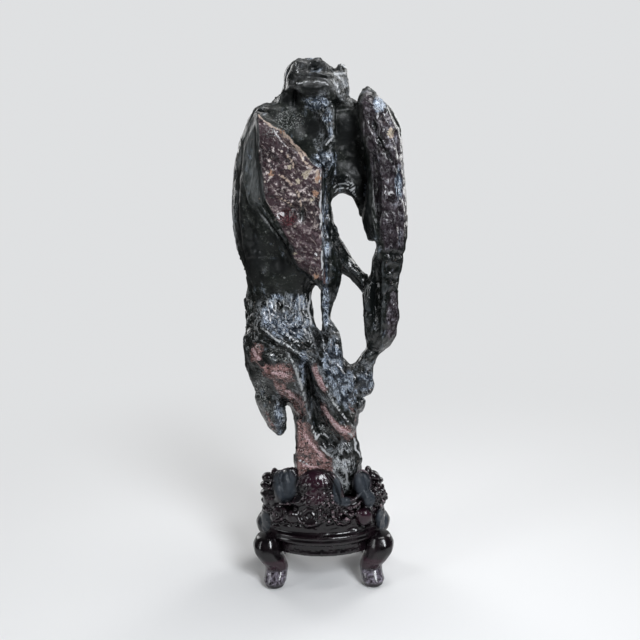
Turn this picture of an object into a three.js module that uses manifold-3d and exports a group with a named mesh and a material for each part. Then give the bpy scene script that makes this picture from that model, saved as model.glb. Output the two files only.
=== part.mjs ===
// A scholars' rock: a tall, dark, pierced stone standing in a carved wooden stand on four feet.
// Millimetres, +Z up, +Y away from the front. The origin is on the table, under the stand's middle.
import * as THREE from 'three';
import { mergeVertices } from 'three/addons/utils/BufferGeometryUtils.js';
import { ImprovedNoise } from 'three/addons/math/ImprovedNoise.js';
import Module from 'manifold-3d';

const wasm = await Module();
wasm.setup();

// Driving dimensions
const EYE_DISTANCE = 945;      // the front view is seen from here, level distance to the plane y = 0
const EYE_HEIGHT = 517;        // and from this height above the table
const STONE_FOOT = 80;         // height of the flat the stone stands on, in the stand's socket
const STONE_RELIEF = 1.6;      // height of the small lumps on the stone
const RELIEF_SPACING = 17;     // distance between those lumps
const STAND_HALF_LENGTH = 66;  // outermost bead, along X
const STAND_DEPTH_RATIO = 0.7; // the stand's oval: depth over length
const PLATE_BOTTOM = 36;       // lower edge of the apron
const PLATE_TOP = 59;          // deck inside the beads
const FIT_GAP = 0.3;           // between pieces that touch
const SHORTEST_STONE_EDGE = 2.8; // shorter edges of a cut or joined mesh are drawn in
const SHORTEST_WOOD_EDGE = 3.8;

const noise = new ImprovedNoise();

// Shared points only, so that the mesh is closed
function merged(geometry) {
  const bare = geometry.clone();
  bare.deleteAttribute('normal');
  bare.deleteAttribute('uv');
  return mergeVertices(bare, 1e-4);
}

// Closed mesh to solid, with its faces pointing out, and back
function solid(geometry) {
  const vertProperties = new Float32Array(geometry.attributes.position.array);
  const triVerts = new Uint32Array(geometry.index.array);
  const made = new wasm.Manifold(new wasm.Mesh({ numProp: 3, vertProperties, triVerts }));
  return made.volume() < 0 ? solid(flipped(geometry)) : made;
}

function geometryOf(made) {
  const mesh = made.getMesh();
  const geometry = new THREE.BufferGeometry();
  geometry.setAttribute('position', new THREE.BufferAttribute(new Float32Array(mesh.vertProperties), 3));
  geometry.setIndex(new THREE.BufferAttribute(new Uint32Array(mesh.triVerts), 1));
  return geometry;
}

function movePoints(geometry, move) {
  const place = geometry.attributes.position;
  const point = new THREE.Vector3();
  for (let i = 0; i < place.count; i++) {
    point.fromBufferAttribute(place, i);
    move(point);
    place.setXYZ(i, point.x, point.y, point.z);
  }
  return geometry;
}

// Cutting and joining leave short edges. Each is drawn in to one of its ends, where no face turns over.
function withoutShortEdges(made, shortest) {
  const geometry = geometryOf(made);
  const place = geometry.attributes.position;
  const points = Array.from({ length: place.count }, (_, i) => new THREE.Vector3().fromBufferAttribute(place, i));
  const index = geometry.index.array;
  const faces = Array.from({ length: index.length / 3 }, (_, f) => [...index.subarray(3 * f, 3 * f + 3)]);
  const around = points.map(() => new Set());
  faces.forEach((face, f) => face.forEach((p) => around[p].add(f)));
  const neighbours = (p) => new Set([...around[p]].flatMap((f) => faces[f]).filter((q) => q !== p));
  const facing = (face) => {
    const triangle = new THREE.Triangle(...face.map((p) => points[p]));
    return triangle.getNormal(new THREE.Vector3());
  };
  const edges = faces.flatMap(([a, b, c]) => [[a, b], [b, c], [c, a]]).filter(([a, b]) => a < b);
  const lengths = new Map(edges.map((edge) => [edge, points[edge[0]].distanceTo(points[edge[1]])]));
  const short = edges.filter((edge) => lengths.get(edge) < shortest).sort((a, b) => lengths.get(a) - lengths.get(b));
  for (const [kept, gone] of short) {
    const beside = neighbours(gone);
    if (!beside.has(kept)) continue;
    if ([...neighbours(kept)].filter((p) => beside.has(p)).length !== 2) continue;
    const moving = [...around[gone]].filter((f) => !faces[f].includes(kept));
    const moved = (face) => face.map((p) => (p === gone ? kept : p));
    if (moving.some((f) => facing(faces[f]).dot(facing(moved(faces[f]))) < 0.3)) continue;
    for (const f of [...around[gone]]) {
      if (faces[f].includes(kept)) {
        for (const p of faces[f]) around[p].delete(f);
        faces[f] = [];
      } else {
        faces[f] = moved(faces[f]);
        around[kept].add(f);
      }
    }
    around[gone].clear();
  }
  geometry.setIndex(faces.flat());
  return solid(merged(geometry.toNonIndexed()));
}

// Front view to real place: a point keeps its sight line from the eye and goes to its own depth y.
function alongSight(point) {
  const share = (EYE_DISTANCE + point.y) / EYE_DISTANCE;
  point.x *= share;
  point.z = EYE_HEIGHT + (point.z - EYE_HEIGHT) * share;
}

const rounded = (value, power) => Math.sign(value) * Math.abs(value) ** (2 / power);

// Smooth lumps of the stone's skin, the same on every limb because they follow the place.
function relief(point, size = STONE_RELIEF) {
  const s = RELIEF_SPACING;
  const broad = noise.noise(point.x / s + 3.1, point.y / s + 1.7, point.z / s + 5.3);
  const fine = noise.noise(point.x * 2.3 / s, point.y * 2.3 / s + 9.2, point.z * 2.3 / s);
  return size * (broad * 1.6 + fine * 0.7);
}

// An upright limb from rows of [height, left, right, front, back]. The first and last rows are its tips.
function column(rows, { sides = 14, power = 2.5, between = 1 } = {}) {
  const edges = new THREE.CatmullRomCurve3(rows.map((r) => new THREE.Vector3(r[1], r[2], r[0])), false, 'catmullrom', 0.4);
  const depths = new THREE.CatmullRomCurve3(rows.map((r) => new THREE.Vector3(r[3], r[4], 0)), false, 'catmullrom', 0.4);
  const skin = merged(new THREE.SphereGeometry(1, sides, (rows.length - 1) * between));
  movePoints(skin, (p) => {
    const t = Math.acos(THREE.MathUtils.clamp(p.y, -1, 1)) / Math.PI;
    const angle = Math.atan2(p.z, p.x);
    const tip = t < 1e-6 || t > 1 - 1e-6 ? 0 : 1;
    const edge = edges.getPoint(t);
    const depth = depths.getPoint(t);
    const across = rounded(Math.cos(angle), power) * tip;
    const inward = -rounded(Math.sin(angle), power) * tip;
    p.x = (edge.x + edge.y) / 2 + across * (edge.y - edge.x) / 2;
    p.y = (depth.x + depth.y) / 2 + inward * (depth.y - depth.x) / 2;
    p.z = edge.z;
    const swell = relief(p) * tip;
    p.x += across * swell;
    p.y += inward * swell;
  });
  return solid(skin);
}

// A limb along a bent line, from stops of [x, height, y, half width, half depth]. The end stops are its tips.
function branch(stops, { sides = 10, power = 2.2, between = 2, rough = 0.6 } = {}) {
  const spine = new THREE.CatmullRomCurve3(stops.map((s) => new THREE.Vector3(s[0], s[2], s[1])), false, 'catmullrom', 0.5);
  const girths = new THREE.CatmullRomCurve3(stops.map((s) => new THREE.Vector3(s[3], s[4], 0)), false, 'catmullrom', 0.5);
  const skin = merged(new THREE.SphereGeometry(1, sides, (stops.length - 1) * between));
  movePoints(skin, (p) => {
    const t = THREE.MathUtils.clamp(Math.acos(THREE.MathUtils.clamp(p.y, -1, 1)) / Math.PI, 0, 1);
    const angle = Math.atan2(p.z, p.x);
    const tip = t < 1e-6 || t > 1 - 1e-6 ? 0 : 1;
    const middle = spine.getPoint(t);
    const ahead = spine.getTangent(t);
    const sideways = new THREE.Vector2(-ahead.z, ahead.x).normalize();
    const girth = girths.getPoint(t);
    const across = rounded(Math.cos(angle), power) * girth.x * tip;
    const inward = rounded(Math.sin(angle), power) * girth.y * tip;
    p.set(middle.x + sideways.x * across, middle.y + inward, middle.z + sideways.y * across);
    const swell = relief(p, STONE_RELIEF * rough) * tip;
    p.x += Math.sign(across) * sideways.x * swell;
    p.z += Math.sign(across) * sideways.y * swell;
    p.y += Math.sign(inward) * swell;
  });
  return solid(skin);
}

function flipped(geometry) {
  const index = geometry.index.array;
  for (let i = 0; i < index.length; i += 3) [index[i + 1], index[i + 2]] = [index[i + 2], index[i + 1]];
  return geometry;
}

// A lump: an egg with its middle at [x, height, y] and its half sizes in the same order.
function lump(middle, half, { turn = 0, sides = 12, rings = 8 } = {}) {
  const egg = merged(new THREE.SphereGeometry(1, sides, rings));
  egg.scale(half[0], half[1], half[2]).rotateZ(THREE.MathUtils.degToRad(turn));
  return solid(movePoints(egg, (p) => p.set(p.x + middle[0], -p.z + middle[2], p.y + middle[1])));
}

const shapeOf = (outline) => new THREE.Shape(outline.map(([x, z]) => new THREE.Vector2(x, z)));

function middleOf(outline) {
  const sum = outline.reduce((total, [x, z]) => [total[0] + x, total[1] + z], [0, 0]);
  return [sum[0] / outline.length, sum[1] / outline.length];
}

// A flat-faced block: an outline in the front view, and how far forward its face is at each point.
function block(outline, face, back, { flare = 1 } = {}) {
  const slab = merged(new THREE.ExtrudeGeometry(shapeOf(outline), { depth: 1, steps: 1, bevelEnabled: false }));
  const middle = middleOf(outline);
  movePoints(slab, (p) => {
    const front = p.z > 0.5;
    const [x, z] = [p.x, p.y];
    const wide = front ? 1 : flare;
    p.set(middle[0] + (x - middle[0]) * wide, front ? face(x, z) : back, middle[1] + (z - middle[1]) * wide);
  });
  return solid(slab);
}

// A hole through the stone: narrowest on the plane y = waist, opening out to the front and the back.
function pierce(outline, { waist = 0, flare = 0.32, reach = 75 } = {}) {
  const tube = merged(new THREE.ExtrudeGeometry(shapeOf(outline), { depth: 2, steps: 4, bevelEnabled: false }));
  const middle = middleOf(outline);
  movePoints(tube, (p) => {
    const along = p.z - 1;
    const wide = 1 + flare * Math.abs(along) ** 1.7;
    p.set(middle[0] + (p.x - middle[0]) * wide, waist - along * reach, middle[1] + (p.y - middle[1]) * wide);
  });
  return solid(tube);
}

// The stone's main limbs, in the front view
function leftMass() {
  return column([
    [493, -50, -46, -2, 6],
    [488, -60, -22, -14, 24],
    [476, -67, -4, -20, 32],
    [459, -75, 6, -24, 37],
    [438, -80, 9, -28, 40],
    [415, -83.5, 10, -31, 41],
    [392, -85, 10, -32, 42],
    [370, -83, 9, -33, 41],
    [350, -80, 8, -33, 38],
    [332, -74.5, 3, -30, 36],
    [314, -73, -4, -22, 34],
    [298, -74, -8.5, -18, 33],
    [282, -75.5, -7, -25, 31],
    [267, -77, 0, -33, 30],
    [250, -78, 8, -38, 30],
    [234, -77, 14, -40, 30],
    [218, -72.5, 18, -39, 29],
    [204, -68.5, 22, -35, 26],
    [193, -60, 18, -26, 22],
    [184, -30, 0, -5, 8],
  ], { sides: 16, power: 2.7 });
}

function stem() {
  return column([
    [244, 6, 16, -8, 2],
    [236, -4, 24, -26, 20],
    [222, -20, 34, -32, 26],
    [206, -30, 44, -32, 28],
    [190, -33, 42, -28, 28],
    [174, -29, 38, -24, 27],
    [160, -27.5, 36, -22, 26],
    [146, -29, 38, -22, 26],
    [130, -31, 42, -23, 27],
    [112, -29, 41, -23, 26],
    [92, -27, 37, -22, 23],
    [70, -10, 20, -4, 4],
  ], { sides: 14, power: 2.6 });
}

function head() {
  return column([
    [534.5, -8, -4, -2, 4],
    [531.5, -21, 8, -12, 12],
    [525, -26.5, 15, -18, 17],
    [517, -29.5, 29, -21, 20],
    [508, -32, 30, -22, 23],
    [499, -36.5, 29.5, -17, 26],
    [488, -46, 32, -8, 29],
    [474, -46, 32, -2, 30],
    [450, -10, 10, 8, 20],
  ], { sides: 14, power: 2.5 });
}

function backWall() {
  return column([
    [490, 30, 42, 8, 14],
    [482, 4, 50, -6, 25],
    [462, 0, 56, -4, 30],
    [436, 0, 59, -2, 32],
    [412, 0, 60, 0, 30],
    [390, 2, 60, 4, 24],
    [378, 25, 50, 8, 14],
  ], { sides: 12 });
}

function rightArm() {
  return column([
    [507.5, 46, 51, -7, -3],
    [498, 40, 60.5, -20, 8],
    [484, 42, 71, -28, 14],
    [466, 43, 80, -33, 19],
    [446, 47, 83.5, -37, 21],
    [422, 50, 84, -38, 22],
    [400, 46, 87, -39, 22],
    [380, 43, 88, -40, 22],
    [360, 48, 87, -40, 21],
    [340, 53, 83.5, -38, 20],
    [322, 48, 79.5, -36, 19],
    [302, 44, 80, -35, 17],
    [280, 43.5, 80, -34, 15],
    [262, 45.5, 77, -31, 13],
    [249, 48, 70, -26, 10],
    [240.5, 58, 62, -12, -6],
  ], { sides: 12, power: 2.3 });
}

function bridge() {
  return branch([
    [4, 402, 4, 2, 4],
    [9, 385, 3, 7, 13],
    [15, 358, 3, 11, 15],
    [23.5, 337.5, 3, 10.5, 14],
    [36, 326, 2, 6.6, 12],
    [46, 314, 1, 7, 12],
    [56, 300, 0, 8, 12],
    [62, 288, 0, 3, 5],
  ], { rough: 0.5, sides: 8 });
}

function middleStrut() {
  return branch([
    [8, 372, -4, 3, 5],
    [10, 352, -4, 10, 17],
    [11.5, 330, -4, 10.5, 18],
    [11, 314, -3, 10, 16],
    [8, 299, -2, 7, 12],
    [5.9, 287, -2, 4.2, 9],
    [6.2, 278, -3, 3.9, 9],
    [8.5, 269, -5, 7, 12],
    [11, 257, -7, 10.5, 18],
    [12, 240, -8, 11, 20],
    [12, 222, -8, 4, 8],
  ], { rough: 0.4, sides: 8, between: 1 });
}

function rightKnobs() {
  const limb = branch([
    [20, 196, -4, 6, 8],
    [30, 210, -5, 17, 21],
    [40, 219, -5, 14, 19],
    [46, 232, -5, 9.5, 15],
    [52, 243, -6, 6.5, 12],
    [58, 254, -8, 6, 9],
    [62, 264, -8, 2, 3],
  ], { rough: 1 });
  return [
    limb,
    lump([44, 211, -8], [10.5, 15, 14], { turn: 20, sides: 10, rings: 7 }),
    lump([37, 187, -5], [9, 10, 15], { sides: 8, rings: 6 }),
    lump([48, 234, -9], [8, 9, 11], { sides: 8, rings: 6 }),
  ];
}

function hangingLobe() {
  return branch([
    [-56, 214, -8, 6, 8],
    [-54, 200, -10, 14.5, 17],
    [-51, 186, -11, 14, 16],
    [-47.5, 173, -12, 12, 14],
    [-45, 163, -12, 8.6, 11],
    [-44, 157, -12, 5, 7],
    [-43.8, 153, -12, 1, 1],
  ], { sides: 12, power: 2.3, rough: 0.3 });
}

// Features that stand on the limbs
const slabFace = (x, z) => -65 - 0.1 * x + 0.058 * z;

function slab() {
  const outline = [
    [-57, 481], [-50, 475], [-40, 470], [-30, 462], [-22, 455], [-14, 447], [-8, 440], [3.5, 430],
    [4, 385], [3, 345], [3.5, 325], [0.5, 312.5], [-6, 322], [-13, 330], [-22, 333], [-28, 345],
    [-31, 360], [-39, 377], [-47, 391], [-51.5, 403], [-53, 418], [-56, 442], [-57, 465],
  ];
  return block(outline, slabFace, -12, { flare: 1.08 });
}

function slabBevel() {
  const crest = [[-57, 484], [-57, 465], [-56, 442], [-53, 418], [-51.5, 403], [-47, 391], [-39, 377], [-31, 360]];
  const valley = [[-36, 352], [-46, 367], [-57, 380], [-66, 396], [-70, 416], [-69, 440], [-66, 460], [-60, 476]];
  const outline = [...crest.map(([x, z]) => [x + 2, z - 1]), ...valley];
  const innermost = (x, z) => valley.some(([a, b]) => a === x && b === z);
  return block(outline, (x, z) => (innermost(x, z) ? -22 : slabFace(x, z) + 0.8), 4, { flare: 1 });
}

function footFace() {
  const outline = [
    [-27, 172], [-15, 172], [-11, 158], [-3, 146], [6, 137], [13, 126], [13, 104], [-26, 104], [-28, 130], [-27, 150],
  ];
  return block(outline, (x, z) => -27 - 0.05 * x - (172 - z) * 0.02, 2, { flare: 0.95 });
}

function crestRidge() {
  return branch([
    [-62, 284, -14, 1, 2],
    [-52, 269, -27, 6, 9],
    [-38, 254, -33, 6.5, 11],
    [-20, 242, -35, 6.5, 12],
    [-5, 230, -35, 7, 13],
    [6, 208, -33, 7.5, 14],
    [17, 185, -29, 8, 14],
    [27, 167, -27, 8, 13],
    [32, 149, -22, 2, 3],
  ], { sides: 8, power: 1.7, rough: 0.8 });
}

function pinkRidge() {
  return branch([
    [-8, 236, -32, 1, 3],
    [-3, 218, -34, 6, 11],
    [5, 198, -33, 6, 11],
    [12, 176, -30, 6.5, 11],
    [22, 160, -29, 7.5, 12],
    [34, 152, -24, 2, 3],
  ], { sides: 8, power: 1.7, rough: 0.7 });
}

function thinRidge() {
  return branch([
    [-38, 250, -33, 1, 2],
    [-27, 230, -37, 4, 8],
    [-20, 204, -34, 4.5, 9],
    [-14, 180, -29, 4.5, 9],
    [-9, 158, -26, 4.5, 9],
    [5, 140, -26, 4.5, 9],
    [18, 118, -22, 4, 7],
    [24, 92, -16, 1, 1],
  ], { sides: 6, power: 1.8, rough: 0.5 });
}

function neckRidge() {
  return branch([
    [-6, 505, -10, 2, 4],
    [4, 489, -11, 6, 10],
    [13, 466, -8, 4.5, 10],
    [9, 442, -12, 8, 14],
    [9, 425, -9, 7, 13],
    [9, 402, -4, 1, 2],
  ], { sides: 8, power: 1.8, rough: 0.6 });
}

function headLumps() {
  return [
    lump([0, 527.5, -7], [9, 6.5, 11], { sides: 8, rings: 6 }),
    lump([23.5, 520.5, -5], [6, 8, 8], { sides: 8, rings: 6 }),
    lump([-6, 508, -19], [19, 5.5, 8], { turn: 2, sides: 10, rings: 6 }),
    lump([23, 506, -6], [8, 14, 12], { sides: 8, rings: 6 }),
    lump([34, 491.5, 4], [8, 4.5, 10], { turn: -28, sides: 8, rings: 6 }),
  ];
}

function backRidges() {
  const like = { sides: 6, between: 1, rough: 0.8 };
  return [
    branch([[-22, 516, 14, 3, 3], [-38, 484, 25, 12, 12], [-56, 430, 32, 13, 12], [-52, 370, 32, 12, 11],
      [-58, 310, 26, 10, 9], [-50, 258, 22, 3, 3]], like),
    branch([[8, 506, 16, 3, 3], [4, 470, 27, 12, 12], [-12, 415, 36, 13, 10], [-10, 352, 33, 10, 10],
      [-30, 300, 28, 9, 9], [-38, 264, 24, 3, 3]], like),
    branch([[-62, 250, 20, 3, 3], [-36, 225, 23, 12, 11], [-8, 188, 23, 11, 10], [2, 146, 22, 9, 9],
      [-6, 108, 18, 3, 3]], like),
    branch([[52, 490, 8, 3, 3], [62, 440, 14, 10, 10], [66, 380, 15, 10, 9], [64, 320, 12, 8, 8],
      [66, 268, 8, 3, 3]], like),
  ];
}

// What is worn out of it
function frontHollows() {
  return [
    lump([-8, 474, -30], [30, 30, 27], { turn: -28 }),
    lump([29, 448, -32], [13.5, 40, 31], { turn: -4 }),
    lump([-52, 335, -48], [27, 42, 27], { turn: 14 }),
    lump([-74, 400, -36], [7, 45, 16], { turn: 2, sides: 8 }),
    lump([-36, 391, -45], [17, 11, 9], { turn: -32, sides: 10, rings: 6 }),
    lump([-46, 243, -47], [15, 9, 12], { turn: -30, sides: 8, rings: 6 }),
    lump([-9, 200, -42], [6.5, 34, 20], { turn: 12, sides: 8 }),
    lump([4, 168, -38], [8, 26, 18], { turn: 28, sides: 8 }),
    lump([7, 146, -34], [7.5, 5, 9], { turn: -35, sides: 8, rings: 6 }),
    lump([24, 128, -36], [5, 26, 14], { turn: 22, sides: 8 }),
    lump([-40, 186, -34], [7, 15, 20], { turn: -8, sides: 8, rings: 6 }),
    lump([57, 300, -44], [9, 52, 24], { turn: -2, sides: 8 }),
    lump([55, 420, -44], [8, 50, 24], { turn: 5, sides: 8 }),
    lump([0, 512, -30], [16, 4, 9], { sides: 8, rings: 6 }),
  ];
}

function backHollows() {
  const like = { sides: 8, rings: 6 };
  return [
    lump([-38, 425, 54], [12, 44, 20], { turn: -8, ...like }),
    lump([-30, 340, 50], [11, 34, 20], { turn: 8, ...like }),
    lump([24, 452, 46], [20, 26, 22], { turn: 20, ...like }),
    lump([-66, 340, 40], [10, 34, 16], { turn: -6, ...like }),
    lump([-34, 258, 44], [26, 14, 22], { turn: -24, ...like }),
    lump([14, 176, 44], [9, 40, 22], { turn: 8, ...like }),
    lump([-22, 150, 42], [9, 26, 20], { turn: -8, ...like }),
    lump([76, 400, 30], [7, 46, 16], { turn: 2, ...like }),
    lump([-4, 506, 36], [12, 18, 18], { turn: 16, ...like }),
  ];
}

function holes() {
  const upper = [
    [12, 393], [14, 401], [18, 404.5], [23, 406.5], [28, 406], [33, 403], [37, 397], [39.5, 390], [40, 384], [43, 376],
    [45, 366], [45.8, 357.5], [47.5, 356.5], [50, 359.5], [53.5, 360], [57, 358], [58.3, 353], [55, 346], [52.6, 337],
    [52.2, 327], [51.5, 319.5], [48.5, 320], [44, 325.5], [37.5, 334.5], [31, 343.5], [25.5, 354], [20.5, 363.5],
    [17, 372.5], [13.5, 383],
  ];
  const lower = [
    [21, 318], [22.5, 323], [26.5, 324.3], [31, 322], [36, 315], [41.2, 309.5], [43, 302], [44.2, 291], [43.6, 280],
    [44.3, 269], [46, 259], [46.3, 251.5], [42, 246.5], [36.5, 241], [32, 236.3], [28, 235], [25, 236.5], [23, 241],
    [21.6, 250], [19.5, 261], [15.5, 270.5], [11.5, 277], [10, 284], [11.5, 291], [15.5, 298.5], [19.5, 307],
  ];
  const small = [
    [-5, 313], [-2.5, 309], [0.5, 303], [1.7, 297], [1, 290], [2.4, 281], [1.6, 273], [-0.5, 269.3], [-3.5, 269.6],
    [-5.8, 275], [-7.6, 284], [-9.3, 294], [-9, 304], [-7.2, 311],
  ];
  return [
    pierce(upper, { waist: 8 }),
    pierce(lower, { waist: 4, flare: 0.28 }),
    pierce(small, { waist: 2, flare: 0.5, reach: 60 }),
  ];
}

function stone() {
  const limbs = [
    leftMass(), stem(), head(), backWall(), rightArm(), bridge(), middleStrut(), ...rightKnobs(),
    hangingLobe(), slab(), slabBevel(), neckRidge(), ...headLumps(), ...backRidges(),
  ];
  const worn = [...frontHollows(), ...backHollows()];
  const ridges = [crestRidge(), pinkRidge(), thinRidge(), footFace()];
  const eroded = joined(limbs).subtract(joined(worn));
  const pierced = joined([eroded, ...ridges]).subtract(joined(holes()));
  const placed = inPlace(pierced);
  const trimmed = placed.subtract(boxBelow(STONE_FOOT));
  const bodies = trimmed.decompose().sort((a, b) => b.volume() - a.volume());
  return withoutShortEdges(bodies[0], SHORTEST_STONE_EDGE);
}

function inPlace(made) {
  return solid(movePoints(geometryOf(made), alongSight));
}

function boxBelow(height) {
  const block = merged(new THREE.BoxGeometry(220, 220, 100));
  return solid(block.translate(0, 0, height - 50));
}

// The stand. An oval turned from [radius along X, height] points.
function turned(profile, around = 36, ratio = STAND_DEPTH_RATIO) {
  const outline = profile.map(([radius, height]) => new THREE.Vector2(radius, height));
  const lathe = merged(new THREE.LatheGeometry(outline, around));
  return solid(lathe.rotateX(Math.PI / 2).scale(1, ratio, 1));
}

function plateProfile(grow = 0) {
  const r = STAND_HALF_LENGTH + grow;
  return [
    [0, PLATE_BOTTOM - grow],
    [r - 9, PLATE_BOTTOM - grow],
    [r - 5.5, PLATE_BOTTOM + 3],
    [r - 7, PLATE_BOTTOM + 9],
    [r - 5, PLATE_BOTTOM + 13],
    [r - 0.8, PLATE_BOTTOM + 14.5],
    [r, PLATE_BOTTOM + 16.5],
    [r - 1.6, PLATE_BOTTOM + 18.6],
    [r - 0.9, PLATE_BOTTOM + 20.4],
    [r - 2.2, PLATE_TOP - 0.6],
    [r - 8, PLATE_TOP],
    [0, PLATE_TOP],
  ];
}

function drum() {
  const profile = [[0, 57], [60, 57], [61.5, 62], [61, 72], [57.5, 80], [48, 85], [30, 87], [0, 88]];
  return turned(profile, 24, 0.64);
}

// A carved scroll: a ring on the stand's side, turned and tilted to face out from it
function scroll([x, z, y], radius, thick, { turn = 0, tilt = 20 } = {}) {
  const ring = merged(new THREE.TorusGeometry(radius, thick, 6, radius < 6 ? 9 : 12));
  ring.scale(1, 1, 1.5).rotateX(Math.PI / 2);
  ring.rotateX(THREE.MathUtils.degToRad(-tilt)).rotateZ(THREE.MathUtils.degToRad(turn));
  return solid(ring.translate(x, y, z));
}

function joined(pieces) {
  return pieces.reduce((whole, piece) => whole.add(piece));
}

function frontCarving() {
  const fine = { sides: 10, rings: 7 };
  const small = { sides: 8, rings: 6 };
  const dome = lump([-6, 90, -27], [22, 26, 14], { sides: 14, rings: 10 });
  const leftWall = [
    lump([-46, 87, -17], [7.5, 18, 15], { turn: 3, ...fine }),
    lump([-37, 96, -19], [7, 20, 12], { turn: 3, ...fine }),
    lump([-31, 104, -18], [5, 17, 9], { turn: -8, ...small }),
  ];
  const rightWall = [
    lump([39, 94, -19], [8.5, 19, 12], { turn: 7, ...fine }),
    lump([46.5, 80, -24], [7, 11, 11], small),
  ];
  const leftKnobs = [
    lump([-50.5, 109, -12], [4.6, 6, 7], small),
    lump([-58, 105.5, -9], [6.2, 5.6, 7], small),
    lump([-58.5, 95, -9], [6.6, 5, 9], small),
    lump([-57.5, 82, -9], [7, 11, 14], fine),
  ];
  const rightKnobs = [
    lump([49.5, 110, -12], [5, 7, 7], small),
    lump([55.5, 105.5, -11], [7.5, 4.6, 7], { turn: -36, ...small }),
    lump([59, 85, -10], [9.5, 13, 15], fine),
  ];
  const belly = [
    lump([-33, 60, -35], [7, 11, 7], small),
    lump([44, 59, -31], [10, 12, 9], fine),
    lump([60, 58, -14], [8, 11, 17], fine),
    lump([28, 78, -33], [12, 7, 8], { turn: -8, ...fine }),
    lump([-24, 79, -33], [10, 8, 8], { turn: 20, ...small }),
  ];
  const lip = branch([
    [-2, 117, -28, 1, 1], [6, 112, -33, 3.4, 4], [14, 103, -36, 4, 5], [19.5, 91, -38, 4, 5], [21, 78, -38, 4, 5],
    [15, 64, -38, 1, 1],
  ], { sides: 6, rough: 0 });
  const scrolls = [
    scroll([-47, 65, -27], 8.5, 3.2, { turn: -38 }),
    lump([-47, 65, -28], [3.5, 3.5, 5], small),
    scroll([-14, 62, -38], 12, 3.4, { turn: -8 }),
    scroll([-14, 61, -39], 5, 2.4, { turn: -8 }),
    scroll([3, 68, -39], 6.5, 2.4),
    scroll([21, 61, -37], 9, 2.8, { turn: 14 }),
  ];
  const bowl = lump([29, 88, -38], [7.5, 5.5, 9], small);
  return joined([dome, ...leftWall, ...rightWall, ...leftKnobs, ...rightKnobs, ...belly, lip, ...scrolls]).subtract(bowl);
}

function backCarving() {
  const like = { sides: 8, rings: 6 };
  const mounds = [
    lump([-46, 84, 21], [11, 17, 13], { turn: -8, ...like }),
    lump([-24, 89, 29], [14, 20, 11], { turn: 5, ...like }),
    lump([6, 87, 31], [15, 23, 11], { turn: -4, ...like }),
    lump([34, 88, 26], [13, 19, 12], { turn: 6, ...like }),
    lump([53, 83, 13], [9, 16, 13], like),
    lump([-57, 86, 8], [7, 12, 12], like),
    lump([-36, 103, 23], [6, 7, 7], like),
    lump([24, 106, 25], [7, 7, 7], like),
    lump([56, 100, 4], [6, 7, 8], like),
  ];
  const scrolls = [-42, -15, 15, 42].map((x) => {
    const y = 38 * Math.sqrt(1 - (x / 62) ** 2);
    return scroll([x, 70, y], 9, 3, { turn: -x * 0.9, tilt: -15 });
  });
  return joined([...mounds, ...scrolls]);
}

// The space that the stone takes in the stand: the stone's foot, a little larger all round
function socket(stone) {
  const foot = stone.subtract(solid(merged(new THREE.BoxGeometry(400, 400, 500)).translate(0, 0, 390)));
  const share = 1.014;
  const wider = movePoints(geometryOf(foot), (p) => p.set((p.x - 4) * share + 4, p.y * share, p.z - FIT_GAP));
  return solid(wider).add(foot);
}

function stand(stone) {
  const top = withoutShortEdges(joined([drum(), inPlace(frontCarving()), backCarving()]), SHORTEST_WOOD_EDGE);
  const carved = turned(plateProfile()).add(top);
  const clear = carved.subtract(socket(stone));
  return clear.decompose().sort((a, b) => b.volume() - a.volume())[0];
}

// A cabriole foot, front left: rows of [height, outer, inner, front, back]. The others are mirrored.
function foot(acrossSign, alongSign) {
  const rows = [
    [56, -64, -54, -30, -20],
    [53, -69.5, -48, -37, -14],
    [45, -73.5, -45, -42, -11],
    [37, -72.5, -43.5, -43.5, -12],
    [29, -67, -39.5, -43, -16],
    [21, -61, -37.5, -42, -20],
    [13, -61.5, -38.5, -43.5, -21],
    [6, -63.5, -40, -46, -22],
    [1.5, -61, -42, -44.5, -24],
    [0, -58, -45, -42, -27],
    [0, -52, -51, -36, -34],
  ];
  const skin = merged(new THREE.SphereGeometry(1, 10, rows.length - 1));
  movePoints(skin, (p) => {
    const t = Math.acos(THREE.MathUtils.clamp(p.y, -1, 1)) / Math.PI;
    const row = rows[Math.round(t * (rows.length - 1))];
    const angle = Math.atan2(p.z, p.x);
    const open = t < 1e-6 || t > 1 - 1e-6 ? 0 : 0.5;
    p.x = acrossSign * ((row[1] + row[2]) / 2 + rounded(Math.cos(angle), 2.4) * open * (row[2] - row[1]));
    p.y = alongSign * ((row[3] + row[4]) / 2 - rounded(Math.sin(angle), 2.4) * open * (row[4] - row[3]));
    p.z = row[0];
  });
  return solid(skin).subtract(turned(plateProfile(FIT_GAP)));
}

const stoneFinish = new THREE.MeshStandardMaterial({ color: 0x23262a, roughness: 0.35, metalness: 0 });
const woodFinish = new THREE.MeshStandardMaterial({ color: 0x241014, roughness: 0.3, metalness: 0 });

function named(name, made, finish) {
  const mesh = new THREE.Mesh(geometryOf(made), finish);
  mesh.name = name;
  return mesh;
}

const part = new THREE.Group();
const rock = stone();
part.add(named('rock', rock, stoneFinish));
part.add(named('stand', stand(rock), woodFinish));
for (const [end, along] of [['front', 1], ['back', -1]]) {
  for (const [side, across] of [['left', 1], ['right', -1]]) {
    part.add(named(`foot_${end}_${side}`, foot(across, along), woodFinish));
  }
}

// The origin is on the table, in the middle of the whole piece's box.
const middle = new THREE.Box3().setFromObject(part).getCenter(new THREE.Vector3());
part.position.set(-middle.x, -middle.y, 0);
export default part;
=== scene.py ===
# %% [markdown]
# A scholars' rock is a stone that water has worn into hollows, holes and ridges. This one stands in an oval
# stand of dark carved rosewood. The solids of the stone, the stand and its four feet come as a fixed frame,
# at their real size. This lesson gives them their fine surface and their finish, and leaves their places
# alone.

# %% The frame and the units
import math

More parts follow.
